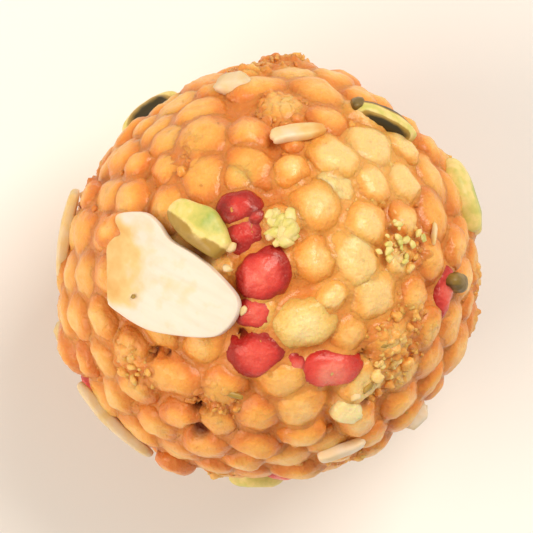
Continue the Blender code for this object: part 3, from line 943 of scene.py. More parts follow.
def crumb_tree():
    """Strews broken bits over a surface. They have a few faces each until they are smoothed."""
    tree, given = new_tree(
        "Broken bits",
        (
            ("Bits per square metre", "NodeSocketFloat", 600000.0),
            ("Room between", "NodeSocketFloat", 0.0013),
            ("Smallest", "NodeSocketFloat", 0.0004),
            ("Largest", "NodeSocketFloat", 0.0010),
            ("Sunk share", "NodeSocketFloat", 0.45),
            ("Roundness", "NodeSocketInt", 1),
            ("Seed", "NodeSocketInt", 4),
            ("Break depth", "NodeSocketFloat", 0.0014),
            ("Break size", "NodeSocketFloat", 0.0012),
            ("Grit depth", "NodeSocketFloat", 0.0007),
            ("Grit size", "NodeSocketFloat", 0.0007),
            ("Material", "NodeSocketMaterial", None),
        ),
    )
    bare = add(tree, "GeometryNodeInputNamedAttribute", {"Name": "bare"}, data_type="FLOAT")
    strewn = add(
        tree, "GeometryNodeDistributePointsOnFaces",
        {
            "Mesh": given.outputs["Geometry"], "Density Max": given.outputs["Bits per square metre"],
            "Distance Min": given.outputs["Room between"], "Seed": given.outputs["Seed"],
            "Density Factor": bare.outputs["Attribute"],
        },
        distribute_method="POISSON",
    )
    size = add(
        tree, "FunctionNodeRandomValue",
        {"Min": given.outputs["Smallest"], "Max": given.outputs["Largest"], "Seed": 1}, data_type="FLOAT",
    )
    squash = add(
        tree, "FunctionNodeRandomValue",
        {"Min": (0.6, 0.6, 0.45), "Max": (1.5, 1.0, 0.9), "Seed": 5}, data_type="FLOAT_VECTOR",
    )
    girth = add(tree, "ShaderNodeVectorMath", {0: squash, "Scale": size}, operation="SCALE")
    spin = add(
        tree, "FunctionNodeRandomValue",
        {"Min": (0.0, 0.0, 0.0), "Max": (math.tau, math.tau, math.tau), "Seed": 2}, data_type="FLOAT_VECTOR",
    )
    chance = add(tree, "FunctionNodeRandomValue", {"Min": -0.3, "Max": 0.3, "Seed": 3}, data_type="FLOAT")
    near = add(tree, "GeometryNodeInputNamedAttribute", {"Name": "tint"}, data_type="FLOAT")
    tint = add(tree, "ShaderNodeMath", {0: chance, 1: near.outputs["Attribute"]}, operation="ADD")
    tinted = add(
        tree, "GeometryNodeStoreNamedAttribute",
        {"Geometry": strewn.outputs["Points"], "Name": "tint", "Value": tint},
        data_type="FLOAT", domain="POINT",
    )
    inward = add(tree, "ShaderNodeMath", {0: size, 1: given.outputs["Sunk share"]}, operation="MULTIPLY")
    depth = add(tree, "ShaderNodeMath", {0: inward, 1: -1.0}, operation="MULTIPLY")
    down = add(
        tree, "ShaderNodeVectorMath", {0: strewn.outputs["Normal"], "Scale": depth}, operation="SCALE"
    )
    sunk = add(tree, "GeometryNodeSetPosition", {"Geometry": tinted, "Offset": down})
    lying = add(
        tree, "GeometryNodeInstanceOnPoints",
        {"Points": sunk, "Instance": coarse_ball(tree), "Rotation": spin, "Scale": girth},
    )
    coarse = add(tree, "GeometryNodeRealizeInstances", {"Geometry": lying})
    whole = add(
        tree, "GeometryNodeSubdivisionSurface", {"Mesh": coarse, "Level": given.outputs["Roundness"]}
    )
    facing = add(tree, "GeometryNodeInputNormal")
    pairs = (("Break size", "Break depth"), ("Grit size", "Grit depth"))
    shift = noise_shift(tree, given, pairs, CRUMB_NOISE_MIDDLE)
    offset = add(tree, "ShaderNodeVectorMath", {0: facing, "Scale": shift}, operation="SCALE")
    broken = add(tree, "GeometryNodeSetPosition", {"Geometry": whole, "Offset": offset})
    place = add(tree, "GeometryNodeInputPosition")
    spoke = add(tree, "ShaderNodeVectorMath", {0: place, 1: tuple(CENTRE)}, operation="SUBTRACT")
    reach = add(tree, "ShaderNodeVectorMath", {0: spoke}, operation="LENGTH")
    # Painted shade and light: a bit deep in a seam is painted as dark as the seam, and one on top as yellow
    # as a lit crest
    height = add(
        tree, "ShaderNodeMapRange",
        {
            "Value": reach.outputs["Value"], "From Min": BALL_RADIUS - 0.0016,
            "From Max": BALL_RADIUS - 0.0001, "To Min": 0.42, "To Max": 0.9,
        },
    )
    crested = add(
        tree, "GeometryNodeStoreNamedAttribute",
        {"Geometry": broken, "Name": "crest", "Value": height.outputs["Result"]},
        data_type="FLOAT", domain="POINT",
    )
    finish_tree(tree, held_in_box(tree, crested), given.outputs["Material"])
    return tree


# Pieces

def dress(obj):
    """Every piece rides on the one body and stands for the plain ball."""
    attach(obj, "root")
    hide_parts("laddu")


def store(mesh, name, kind, key, values):
    """Gives each point of a mesh a value that a tree or a material reads."""
    layer = mesh.attributes.new(name, kind, "POINT")
    layer.data.foreach_set(key, np.array(values, dtype=np.float32).ravel())


def seat_mesh(seats, plump, rng):
    """A mesh of loose points, one for each pearl, with what the pearl tree reads."""
    mesh = bpy.data.meshes.new("seats")
    points, outward, girth, turns, tint = [], [], [], [], []
    for direction, radius, lift, kind in seats:
        listed = stretched_place(direction)
        drawn = (rng.uniform(*SQUEEZE), rng.uniform(0, 360))
        stretch, spin = drawn if listed is None else STRETCHED[listed]
        if listed is None and kind != "squashed":
            radius *= rng.choice(SHOWN_SIZES)
        wide = radius * plump * stretch
        deep = radius * plump / stretch
        lift = max(lift, LOWEST_LIFT) - (FLAKE_PRESS if under_flake(direction) else 0.0)
        thick = radius * (SQUASHED_THICKNESS if kind == "squashed" else 1.0)
        upright = upright_matrix(direction, ball_radius(direction) + lift - thick, spin)
        points.append(upright.translation)
        outward.append(direction)
        girth.append((wide, deep, thick))
        turns.append(upright.to_quaternion())
        # Random tone, plus the place's share, which is partly painted light and shade
        tint.append(LEAST_TINT + TINT_SPREAD * rng.random() + share_at(direction, TONE_AND_LIGHT_PLACES))
    mesh.from_pydata(points, [], [])
    store(mesh, "outward", "FLOAT_VECTOR", "vector", outward)
    store(mesh, "girth", "FLOAT_VECTOR", "vector", girth)
    store(mesh, "turn", "QUATERNION", "value", turns)
    store(mesh, "tint", "FLOAT", "value", tint)
    return mesh


def stretched_place(direction):
    """The place in STRETCHED of a pearl that sits here, or None."""
    for x, y in STRETCHED:
        if (direction - direction_of(x, y, BALL_RADIUS - PEARL_RADIUS)).length < SAME_SEAT:
            return (x, y)
    return None


def under_flake(direction):
    """Whether the big flake lies over this spot."""
    _, x, y, _, length, _, _ = TOP_NUTS[0]
    away = (direction - direction_of(x, y, BALL_RADIUS)).length * BALL_RADIUS
    return away < 0.5 * length - FLAKE_RIM


def pearls(name, seats, gaps, tree, material, seed):
    """The pearls of one colour, as one piece."""
    sizes = bpy.context.scene.laddu_sizes
    values = {
        "Lump depth": sizes.lump_depth,
        "Lump size": sizes.lump_size,
        "Wrinkle depth": sizes.wrinkle_depth,
        "Wrinkle size": sizes.wrinkle_size,
        "Material": material,
    }
    obj = grown_mesh(name, seat_mesh(seats, sizes.plumpness, random.Random(seed)), tree, values)
    dented(obj.data, gaps)
    dress(obj)


def cube_sphere(steps):
    """Unit directions in six grids that together cover a sphere, and the faces between them."""
    slant = np.tan(np.linspace(-0.25, 0.25, steps + 1) * math.pi)
    first, second = np.meshgrid(slant, slant, indexing="ij")
    cell = np.arange(first.size).reshape(first.shape)
    corners = (cell[:-1, :-1], cell[1:, :-1], cell[1:, 1:], cell[:-1, 1:])
    quads = np.stack(corners, axis=-1).reshape(-1, 4)
    grids, faces = [], []
    for axis in range(3):
        for side in (1, -1):
            grid = np.empty((first.size, 3))
            grid[:, axis] = side
            grid[:, (axis + 1) % 3] = first.ravel()
            grid[:, (axis + 2) % 3] = second.ravel()
            faces.append(quads[:, ::side] + len(grids) * first.size)
            grids.append(grid)
    spots = np.concatenate(grids)
    spots /= np.linalg.norm(spots, axis=1)[:, None]
    _, kept, shared = np.unique(spots.round(5) + 0.0, axis=0, return_index=True, return_inverse=True)
    return spots[kept], shared.ravel()[np.concatenate(faces)]


def evened(values, quads, passes):
    """The values with each one drawn towards the mean of its neighbours."""
    here, beside = quads.ravel(), np.roll(quads, -1, axis=1).ravel()
    number = np.bincount(here)
    for _ in range(passes):
        values = 0.5 * values + 0.5 * np.bincount(here, values[beside]) / number
    return values


def crushed_share(direction):
    """How far the pearls are crushed here, from 0 to 1, with ragged edges."""
    ragged = sum(gain * noise.noise(direction * waves) for gain, waves in RAGGED_EDGES)
    share = share_at(direction, CRUSHED_PLACES)
    if direction.z < HIDDEN_CRUSHED_TOP:
        level = noise.noise(direction * HIDDEN_CRUSHED_WAVES + HIDDEN_CRUSHED_DRIFT)
        share = max(share, HIDDEN_CRUSHED_GAIN * (level - HIDDEN_CRUSHED_LEVEL))
    return clamped(CRUSHED_GAIN * share + ragged * min(1.0, 3.0 * share) - CRUSHED_FLOOR)


def pits(seats):
    """Each gap's direction, reach and depth; the gap is painted dark as shade. It slides away from the
    pearls' middles, into a seam.
    """
    rng = random.Random(PIT_SEED)
    found = [(direction_of(x, y, BALL_RADIUS), reach, depth) for x, y, reach, depth in PITS]
    for _ in range(HIDDEN_PITS):
        direction = random_direction(rng, HIDDEN_NUT_BOTTOM, HIDDEN_NUT_TOP + 0.1)
        found.append((direction, rng.uniform(*HIDDEN_PIT_REACH), rng.uniform(*HIDDEN_PIT_DEPTH)))
    settled = []
    for direction, reach, depth in found:
        for _ in range(PIT_SLIDE_STEPS):
            nearest = min(seats, key=lambda seat: (direction - seat[0]).length)[0]
            direction = (direction + PIT_SLIDE * (direction - nearest).normalized()).normalized()
        settled.append((direction, reach, depth))
    return settled


def dented(mesh, gaps):
    """Sinks the gaps between pearls into a mesh, and marks them for its material, which paints them dark as
    shade.
    """
    count = len(mesh.vertices)
    spots = np.empty(3 * count, dtype=np.float32)
    mesh.vertices.foreach_get("co", spots)
    spots = spots.reshape(-1, 3)
    spokes = spots - np.array(CENTRE)
    spokes /= np.linalg.norm(spokes, axis=1)[:, None]
    dark = np.zeros(count)
    for direction, reach, depth in gaps:
        away = np.linalg.norm(spokes - np.array(direction), axis=1) * BALL_RADIUS
        for i in np.nonzero(away < 1.4 * reach)[0]:
            away[i] += PIT_RAGGEDNESS * reach * noise.noise(Vector(spots[i]) * PIT_RAG_WAVES)
        fade = np.clip(1.0 - away / reach, 0.0, 1.0)
        fade *= fade * (3.0 - 2.0 * fade)
        spots -= (depth * fade[:, None] * spokes).astype(np.float32)
        dark = np.maximum(dark, fade * min(1.0, depth / FULL_SHADE_DEPTH))
    mesh.vertices.foreach_set("co", spots.ravel())
    store(mesh, "pit_shade", "FLOAT", "value", dark)
    mesh.update()


def packed_middle(pearl_objects):
    """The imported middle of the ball: a film of syrup that fills the seams between its pearls, and a crust
    where they are crushed."""
    pearls_mesh = bmesh.new()
    for obj in pearl_objects:
        pearls_mesh.from_mesh(obj.data)
    pearls_mesh.faces.ensure_lookup_table()
    crest_layer = pearls_mesh.verts.layers.float["crest"]
    tint_layer = pearls_mesh.verts.layers.float["tint"]
    pit_layer = pearls_mesh.verts.layers.float["pit_shade"]
    skin = BVHTree.FromBMesh(pearls_mesh)
    directions, quads = cube_sphere(BINDER_STEPS)
    start = 1.4 * BALL_RADIUS
    reach = np.empty(len(directions))
    crushed = np.empty(len(directions))
    crest = np.full(len(directions), SHADING_IN_GAPS)
    tint = np.full(len(directions), TINT_IN_GAPS)
    pit_shade = np.zeros(len(directions))
    for i, spot in enumerate(directions):
        out = Vector(spot)
        _, _, face, distance = skin.ray_cast(CENTRE + start * out, -out, start)
        lowest = ball_radius(out) - DEEPEST_PIT
        reach[i] = lowest if distance is None else max(lowest, start - distance)
        crushed[i] = crushed_share(out)
        if distance is not None:
            vert = pearls_mesh.faces[face].verts[0]
            crest[i], tint[i], pit_shade[i] = vert[crest_layer], vert[tint_layer], vert[pit_layer]
    pearls_mesh.free()

    level = evened(reach, quads, SEAM_PASSES) - SYRUP_BELOW
    mean = evened(reach, quads, MEAN_PASSES)
    crust = np.maximum(mean + CRUST_RISE, level + CRUST_OVER_PEARLS + SYRUP_BELOW)
    crust = np.maximum(crust, reach + CRUST_OVER_PEARLS)
    level += evened(crushed, quads, CRUSH_PASSES) * (crust - level)
    level += np.clip(2.0 * pit_shade, 0.0, 1.0) * (np.minimum(level, reach - FILM_IN_PIT) - level)
    clear = np.clip((level - reach) / CLEAR_DEPTH - 0.5, 0.0, 1.0)

    made = bpy.data.meshes.new("packed_middle")
    spots = np.array(CENTRE) + level[:, None] * directions
    made.from_pydata(spots.tolist(), [], quads.tolist())
    for name, values in (
        ("crushed", crushed),
        ("tint", evened(tint, quads, TINT_PASSES)),
        ("bare", clear * np.clip(SEAM_CRUMBS + crushed, 0.0, 1.0)),
        # The film's painted light and shade, taken from its pearls
        ("pearl_shading", np.clip(evened(crest, quads, SHADING_PASSES) - FILM_SHADED_DEEPER, *SHADING_LIMITS)),
        ("pit_shade", evened(pit_shade, quads, 1)),
    ):
        store(made, name, "FLOAT", "value", values)
    return made


def closed_curve(corners, steps):
    """A smooth closed curve through corner points, as a list of points."""
    count = len(corners)
    curve = []
    for i in range(count):
        before, here, after, beyond = (Vector(corners[(i + k - 1) % count]) for k in range(4))
        for step in range(steps):
            t = step / steps
            curve.append(
                0.5 * (2 * here + (after - before) * t + (2 * before - 5 * here + 4 * after - beyond) * t * t
                       + (3 * here - before - 3 * after + beyond) * t * t * t)
            )
    return curve


# The noise on a nut's faces, as waves to a metre
SLAB_WAVES = 420.0
CHIP_WAVES = 1400.0
CHIP_ROUGHNESS = 0.14


def slab(outline, thickness, fullness, rings, relief, seed):
    """A closed piece with the given outline, as thick as said in its middle. Fullness 2 makes its section
    an ellipse, and more makes it a plate with rounded edges. Relief is how far its faces undulate."""
    mesh = bmesh.new()
    heart = sum(outline, Vector((0.0, 0.0))) / len(outline)
    drift = Vector((seed * 7.31, seed * 3.17, seed * 5.77))

    def point(share, spot, side):
        flat = heart + share * (spot - heart)
        height = 0.5 * thickness * max(0.0, 1.0 - share**fullness) ** (1.0 / fullness)
        wave = relief * noise.noise(Vector((flat.x, flat.y, 0.0)) * SLAB_WAVES + drift)
        return mesh.verts.new((flat.x, flat.y, side * height + wave))

    faces = {}
    for side in (1, -1):
        middle = point(0.0, heart, side)
        loops = []
        for ring in range(1, rings):
            share = math.sin(0.5 * math.pi * ring / rings) ** (2.0 / fullness if fullness > 2.5 else 1.0)
            loops.append([point(share, spot, side) for spot in outline])
        faces[side] = (middle, loops)
    rim = [point(1.0, spot, 1) for spot in outline]
    count = len(outline)
    for side in (1, -1):
        middle, loops = faces[side]
        loops = [*loops, rim]
        for i in range(count):
            j = (i + 1) % count
            mesh.faces.new((middle, loops[0][i], loops[0][j])[::side])
            for inner, outer in zip(loops, loops[1:]):
                mesh.faces.new((inner[i], outer[i], outer[j], inner[j])[::side])
    bmesh.ops.recalc_face_normals(mesh, faces=mesh.faces)
    return mesh


def bend_along(mesh, bend_radius):
    """Curves a flat piece down at its ends, so that it lies along the ball."""
    for vert in mesh.verts:
        vert.co.z -= (vert.co.x**2 + 0.5 * vert.co.y**2) / (2.0 * bend_radius)


def egg_outline(length, width, lean, end_power, count, wobble, seed):
    """A closed egg-shaped outline, widest towards -X."""
    outline = []
    for i in range(count):
        angle = math.tau * i / count
        c, s = math.cos(angle), math.sin(angle)
        x = math.copysign(abs(c) ** end_power, c)
        y = math.copysign(abs(s) ** end_power, s) * (1.0 - lean * x)
        ripple = 1.0 + wobble * noise.noise(Vector((2.0 * c, 2.0 * s, seed * 4.3)))
        outline.append(Vector((0.5 * length * x * ripple, 0.5 * width * y * ripple)))
    return outline


def chip(length, width, thickness, seed, worn):
    """A chopped bit of nut. Worn from 0, all broken flat faces, to 1, rounded."""
    rng = random.Random(seed)
    mesh = bmesh.new()
    for spot in golden_spiral(12 + round(10 * worn)):
        reach = 0.53 * rng.uniform(0.72 + 0.1 * worn, 1.15)
        mesh.verts.new((reach * length * spot.x, reach * width * spot.y, reach * thickness * spot.z))
    hull = bmesh.ops.convex_hull(mesh, input=mesh.verts)
    spare = [g for g in hull["geom_interior"] + hull["geom_unused"] if isinstance(g, bmesh.types.BMVert)]
    bmesh.ops.delete(mesh, geom=spare, context="VERTS")
    bmesh.ops.subdivide_edges(mesh, edges=mesh.edges[:], cuts=2, use_grid_fill=True, smooth=0.55 * worn)
    bmesh.ops.triangulate(mesh, faces=mesh.faces[:])
    drift = Vector((seed * 3.1, seed * 5.3, seed * 1.7))
    for vert in mesh.verts:
        vert.co *= 1.0 + CHIP_ROUGHNESS * noise.noise(vert.co * CHIP_WAVES + drift)
    bmesh.ops.recalc_face_normals(mesh, faces=mesh.faces)
    return mesh


# How far apart the parts of one piece lie in the pattern of their material
LAY_STEP = 0.05


def joined_piece(name, parts, material):
    """One object from placed parts. Each part is a mesh in its own frame, that frame, and a function of
    its local point that gives how much skin or syrup covers it there."""
    whole = bmesh.new()
    lay_layer = whole.verts.layers.float_vector.new("lay")
    cover_layer = whole.verts.layers.float.new("cover")
    for number, (part, upright, cover_at) in enumerate(parts):
        copies = {}
        for vert in part.verts:
            place = upright @ vert.co
            held = [clamped(c, low, high) for c, low, high in zip(place, CAD_LOW, CAD_HIGH)]
            copy = whole.verts.new(held)
            copy[lay_layer] = vert.co + Vector((LAY_STEP * number, 0.0, 0.0))
            copy[cover_layer] = cover_at(vert.co)
            copies[vert] = copy
        for face in part.faces:
            whole.faces.new([copies[vert] for vert in face.verts]).smooth = True
        part.free()
    made = bpy.data.meshes.new(name)
    whole.to_mesh(made)
    whole.free()
    made.materials.append(material)
    obj = bpy.data.objects.new(name, made)
    bpy.context.scene.collection.objects.link(obj)
    dress(obj)


# The big flake's outline in its own frame: along its length, and across it
FLAKE_CORNERS = (
    (-0.0061, -0.0058), (-0.0058, -0.0063), (-0.0051, -0.0067), (-0.0018, -0.0069), (0.0013, -0.0065),
    (0.0066, -0.0044), (0.0082, -0.0026), (0.0086, -0.0004), (0.0078, 0.0012), (0.0049, 0.0025),
    (0.0015, 0.0032), (-0.0018, 0.0033), (-0.0040, 0.0042), (-0.0062, 0.0043), (-0.0088, 0.0029),
    (-0.0091, 0.0019), (-0.0077, 0.0010), (-0.0083, 0.0001), (-0.0086, -0.0012), (-0.0075, -0.0032),
)
# The green piece beside the flake, chopped to this outline in its own frame
CHOPPED_CORNERS = (
    (-0.0042, -0.0002), (-0.0035, 0.0011), (-0.0015, 0.0017), (0.0003, 0.0021), (0.0021, 0.0014),
    (0.0036, 0.0005), (0.0042, -0.0003), (0.0039, -0.0014), (0.0034, -0.0023), (0.0013, -0.0025),
    (-0.0008, -0.0024), (-0.0028, -0.0019), (-0.0039, -0.0012),
)
# Broken bits of nut that show one by one: what, x, y, turn, length, width
SMALL_BITS = (
    ("almond", -0.0040, 0.0020, 20.0, 0.0014, 0.0010),
    ("almond", -0.0043, -0.0003, -30.0, 0.0012, 0.0009),
    ("almond", -0.0026, -0.0050, 60.0, 0.0011, 0.0008),
    ("almond", 0.0188, 0.0034, 62.0, 0.0032, 0.0008),
    ("almond", 0.0100, -0.0146, 10.0, 0.0013, 0.0010),
    ("knob", 0.0102, 0.0181, 55.0, 0.0027, 0.0017),
    ("skin", -0.0037, -0.0143, -18.0, 0.0026, 0.0008),
    ("skin", 0.0114, -0.0135, 60.0, 0.0017, 0.0009),
    ("skin", 0.0132, -0.0088, 0.0, 0.0013, 0.0008),
    ("skin", 0.0156, 0.0010, 70.0, 0.0011, 0.0008),
    ("speck", -0.0143, -0.0033, 10.0, 0.0007, 0.0005),
    ("almond", 0.0009, 0.0057, 30.0, 0.0014, 0.0011),
    ("almond", 0.0004, 0.0034, 70.0, 0.0013, 0.0010),
    ("almond", 0.0022, 0.0046, 120.0, 0.0012, 0.0009),
)
# Of the bits of pistachio: how worn each kind is, how deep it is pressed in, and its share of skin
PISTACHIO_BITS = {
    "skin": (0.2, 0.0006, 0.52),
    "speck": (0.2, -0.00035, 0.60),
    "knob": (0.6, 0.0004, 0.74),
}
SPECK_THICKNESS = 0.0004
ALMOND_BIT_WEAR, ALMOND_BIT_SINK, ALMOND_BIT_STAIN = 0.3, 0.0006, 0.4
# Finely chopped pistachio: place, spread each way, number, smallest, largest and how deep it is pressed in
CHOPPED_PILES = (
    (0.0015, 0.0043, 0.0014, 0.0018, 20, 0.0008, 0.0019, 0.0005),
    (0.0152, 0.0025, 0.0030, 0.0026, 20, 0.0004, 0.0010, 0.0004),
)
PILE_LENGTHS = (1.1, 1.7)
PILE_THICKNESS = 0.7
PILE_SHARES = (-0.22, 0.04, 0.10, 0.15, 0.19, 0.23)
PILE_SEED = 47
# How much syrup has soaked into an almond piece
STAIN_SHARES = (0.16, 0.42)
STAIN_SEED = 61
FLAKE_RELIEF = 0.00012


def evenly(share):
    """The same share of skin, or of syrup, all over a piece."""
    return lambda _spot: share


def flake_stain(spot):
    """Syrup soaked into the big flake's left end, up to a wavy line, but less at its upper and lower rim."""
    wave = 0.0012 * noise.noise(spot * 500.0)
    left_end = clamped((wave - 0.0014 - 0.4 * spot.y - spot.x) / 0.0034)
    upper_rim = clamped((0.0030 - spot.y) / 0.0015, low=0.25)
    lower_rim = clamped((spot.y + 0.0054 - 0.25 * spot.x) / 0.0012)
    return 0.62 * upper_rim * left_end * lower_rim


def sliver_stain(spot):
    """The top sliver is more soaked at its right end."""
    return 0.40 + 0.60 * clamped((spot.x - 0.0012) / 0.0014)


def skin_on_one_side(length, width):
    """Skin along one side, and a green heart in the flesh."""
    def cover(spot):
        heart = 1.0 - math.hypot(2.0 * spot.x / length + 0.1, 2.0 * spot.y / width - 0.1) / 0.75
        return clamped((-2.0 * spot.y / width - 0.35) * 1.5) - max(0.0, heart)

    return cover


def skin_on_both_sides(width):
    """Skin along both sides, with a pale cut band between them."""
    return lambda spot: clamped(2.4 * abs(2.0 * spot.y / width + 0.30) - 0.50, -0.1, 1.2)


def thin_skin_below(spot):
    """The green piece beside the flake: thin skin on its lower side, and a green heart above."""
    heart = 1.0 - math.hypot(spot.x - 0.0009, spot.y - 0.0006) / 0.0024
    return clamped((-0.0003 - spot.y) / 0.0014, high=0.52) - 0.9 * max(0.0, heart)


def placed(kind, direction, turn):
    """The frame of a nut piece of one kind."""
    return upright_matrix(direction, ball_radius(direction) - NUT_SINK[kind], turn)


def bit_frame(x, y, turn, sink):
    """The frame of a small bit that lies at x, y."""
    direction = direction_of(x, y, BALL_RADIUS)
    return upright_matrix(direction, ball_radius(direction) - sink, turn)


# The numbers of the pieces in TOP_NUTS that have a shape or a cover of their own
BIG_FLAKE, GREEN_PIECE, DARK_SLIVER, DARK_BIT, CHOPPED_BIT, TOP_SLIVER = 0, 1, 2, 3, 4, 7


def almond_parts(pieces):
    """The flakes, slivers, nibs and specks of almond, with how much syrup has stained each."""
    parts = []
    rng = random.Random(STAIN_SEED)
    own_stains = {BIG_FLAKE: flake_stain, TOP_SLIVER: sliver_stain}
    for number, (kind, direction, turn, length, width, thickness) in enumerate(pieces):
        stain = own_stains.get(number, evenly(rng.uniform(*STAIN_SHARES)))
        if number == BIG_FLAKE:
            part = slab(closed_curve(FLAKE_CORNERS, 6), 0.9 * thickness, 14.0, 14, FLAKE_RELIEF, number)
            bend_along(part, FLAKE_BEND_RADIUS)
        elif kind == "almond_flake":
            outline = egg_outline(length, width, 0.12, 0.9, 72, 0.05, number)
            part = slab(outline, thickness, 12.0, 14, FLAKE_RELIEF, number)
            bend_along(part, FLAKE_BEND_RADIUS)
        elif kind == "almond_sliver":
            outline = egg_outline(length, width, 0.1, 0.75, 40, 0.12, number)
            part = slab(outline, thickness, 4.0, 6, 0.0001, number)
            bend_along(part, SLIVER_BEND_RADIUS)
        elif kind == "nib":
            part = chip(length, width, thickness, number, 0.15)
        else:
            continue
        parts.append((part, placed(kind, direction, turn), stain))
    for number, (what, x, y, turn, length, width) in enumerate(SMALL_BITS):
        if what == "almond":
            part = chip(length, width, width, 80 + number, ALMOND_BIT_WEAR)
            parts.append((part, bit_frame(x, y, turn, ALMOND_BIT_SINK), evenly(ALMOND_BIT_STAIN)))
    return parts


def pistachio_parts(pieces):
    """The chopped pistachio kernels, with how much of the dark skin covers each."""
    parts = []
    for number, (kind, direction, turn, length, width, thickness) in enumerate(pieces):
        if kind != "pistachio":
            continue
        own_skins = {
            GREEN_PIECE: thin_skin_below,
            DARK_SLIVER: skin_on_both_sides(width),
            DARK_BIT: evenly(0.70),
            CHOPPED_BIT: evenly(-0.15),
        }
        skin = own_skins.get(number, skin_on_one_side(length, width))
        if number == GREEN_PIECE:
            part = slab(closed_curve(CHOPPED_CORNERS, 4), thickness, 3.6, 12, 0.0005, number)
        elif number == CHOPPED_BIT:
            part = chip(0.55 * length, 0.7 * width, 0.7 * thickness, number, 0.1)
        else:
            outline = egg_outline(length, width, -0.12, 0.95, 44, 0.14, number)
            part = slab(outline, thickness, 2.6, 10, 0.0003, number)
        parts.append((part, placed(kind, direction, turn), skin))
    for number, (what, x, y, turn, length, width) in enumerate(SMALL_BITS):
        if what in PISTACHIO_BITS:
            worn, sink, skin_share = PISTACHIO_BITS[what]
            thickness = SPECK_THICKNESS if what == "speck" else width
            part = chip(length, width, thickness, 90 + number, worn)
            parts.append((part, bit_frame(x, y, turn, sink), evenly(skin_share)))
    rng = random.Random(PILE_SEED)
    for x, y, wide, high, count, smallest, largest, sink in CHOPPED_PILES:
        for number in range(count):
            size = rng.uniform(smallest, largest)
            bearing = rng.uniform(0.0, math.tau)
            away = math.sqrt(rng.random())
            spot = (x + wide * away * math.cos(bearing), y + high * away * math.sin(bearing))
            upright = bit_frame(*spot, rng.uniform(0, 360), sink)
            part = chip(rng.uniform(*PILE_LENGTHS) * size, size, PILE_THICKNESS * size, 120 + number, 0.25)
            parts.append((part, upright, evenly(rng.choice(PILE_SHARES))))
    return parts


# What a user can change

def length_property(name, description, default):
    """A length that a user can change."""
    return bpy.props.FloatProperty(
        name=name, description=description, default=default, min=0.0, unit="LENGTH", subtype="DISTANCE",
        precision=5,
    )


def colour_property(name, description, hex_colour):
    """A colour that a user can change."""
    return bpy.props.FloatVectorProperty(
        name=name, description=description, default=linear(hex_colour), min=0.0, max=1.0, size=3,
        subtype="COLOR",
    )


class LadduSizes(bpy.types.PropertyGroup):
    """The shape of the pearls"""

    plumpness: bpy.props.FloatProperty(
        name="Plumpness", description="Width of a pearl as a share of its seat, so that neighbours merge",
        default=1.36, min=0.9, max=1.6,
    )
    lump_depth: length_property("Lump depth", "Depth of a pearl's uneven shape", 0.0014)
    lump_size: length_property("Lump size", "Width of the lumps on a pearl", 0.0032)
    wrinkle_depth: length_property("Wrinkle depth", "Depth of the wrinkles of a pearl's fried skin", 0.0005)
    wrinkle_size: length_property("Wrinkle size", "Width of the wrinkles of a pearl's fried skin", 0.0013)


class LadduColours(bpy.types.PropertyGroup):
    """The colours of the pearls, the syrup, the nuts and the floor"""

    # Each kind's four shades run from painted shade in the seam to painted light, and on red pearls a
    # painted highlight, on the crest
    orange_seam: colour_property("Orange, seam", "Orange pearl where it meets its neighbours", "#DA823A")
    orange_low: colour_property("Orange, low", "Orange pearl on its sides", "#E99B46")
    orange_high: colour_property("Orange, high", "Orange pearl near its crest", "#F0B05A")
    orange_crest: colour_property("Orange, crest", "Orange pearl on its crest", "#F7CE88")
    red_seam: colour_property("Red, seam", "Red pearl where it meets its neighbours", "#A42220")
    red_low: colour_property("Red, low", "Red pearl on its sides", "#CE3834")
    red_high: colour_property("Red, high", "Red pearl near its crest", "#E2564C")
    red_crest: colour_property("Red, crest", "Red pearl on its crest", "#F08C7A")
    pale_seam: colour_property("Pale, seam", "Pale pearl where it meets its neighbours", "#DDA650")
    pale_low: colour_property("Pale, low", "Pale pearl on its sides", "#E8C06E")
    pale_high: colour_property("Pale, high", "Pale pearl near its crest", "#EFD28A")
    pale_crest: colour_property("Pale, crest", "Pale pearl on its crest", "#F6E4AC")
    binder_seam: colour_property("Binder, seam", "Syrup film deep in a seam", "#D8823A")
    binder_low: colour_property("Binder, low", "Syrup film between pearls", "#E69946")
    binder_high: colour_property("Binder, high", "Crust", "#EDAC5A")
    binder_crest: colour_property("Binder, crest", "High spots of the crust", "#F4C880")
    # Painted shade deep in a gap between pearls
    gap: colour_property("Gap", "Deep in a gap between pearls", "#6A2A0E")
    almond_fibre: colour_property("Almond fibre", "Fibres in a slice of almond", "#E4D3C0")
    almond: colour_property("Almond", "Slice of almond between its fibres", "#E8DACA")
    stain_light: colour_property("Light stain", "What a little syrup does to almond", "#F9E4A4")
    stain_deep: colour_property("Deep stain", "What much syrup does to almond", "#F2BE68")
    flesh_cream: colour_property("Pistachio, cream", "Palest flesh of a pistachio", "#EFD58A")
    flesh_yellow: colour_property("Pistachio, yellow", "Usual flesh of a pistachio", "#D8CB6E")
    flesh_green: colour_property("Pistachio, green", "Green heart of a pistachio", "#9CAE48")
    skin_thin: colour_property("Skin, thin", "Worn skin of a pistachio", "#A98636")
    skin_whole: colour_property("Skin, whole", "Whole skin of a pistachio", "#3A3012")
    ground: colour_property("Floor", "The floor under the laddu", "#EFEDEA")


def seat_at(x, y, radius, lift, kind):
    """The seat of one more pearl. A squashed one lies on the ball, and the others are sunk in it."""
    reach = BALL_RADIUS if kind == "squashed" else BALL_RADIUS - radius
    return [direction_of(x, y, reach), radius, lift, kind]


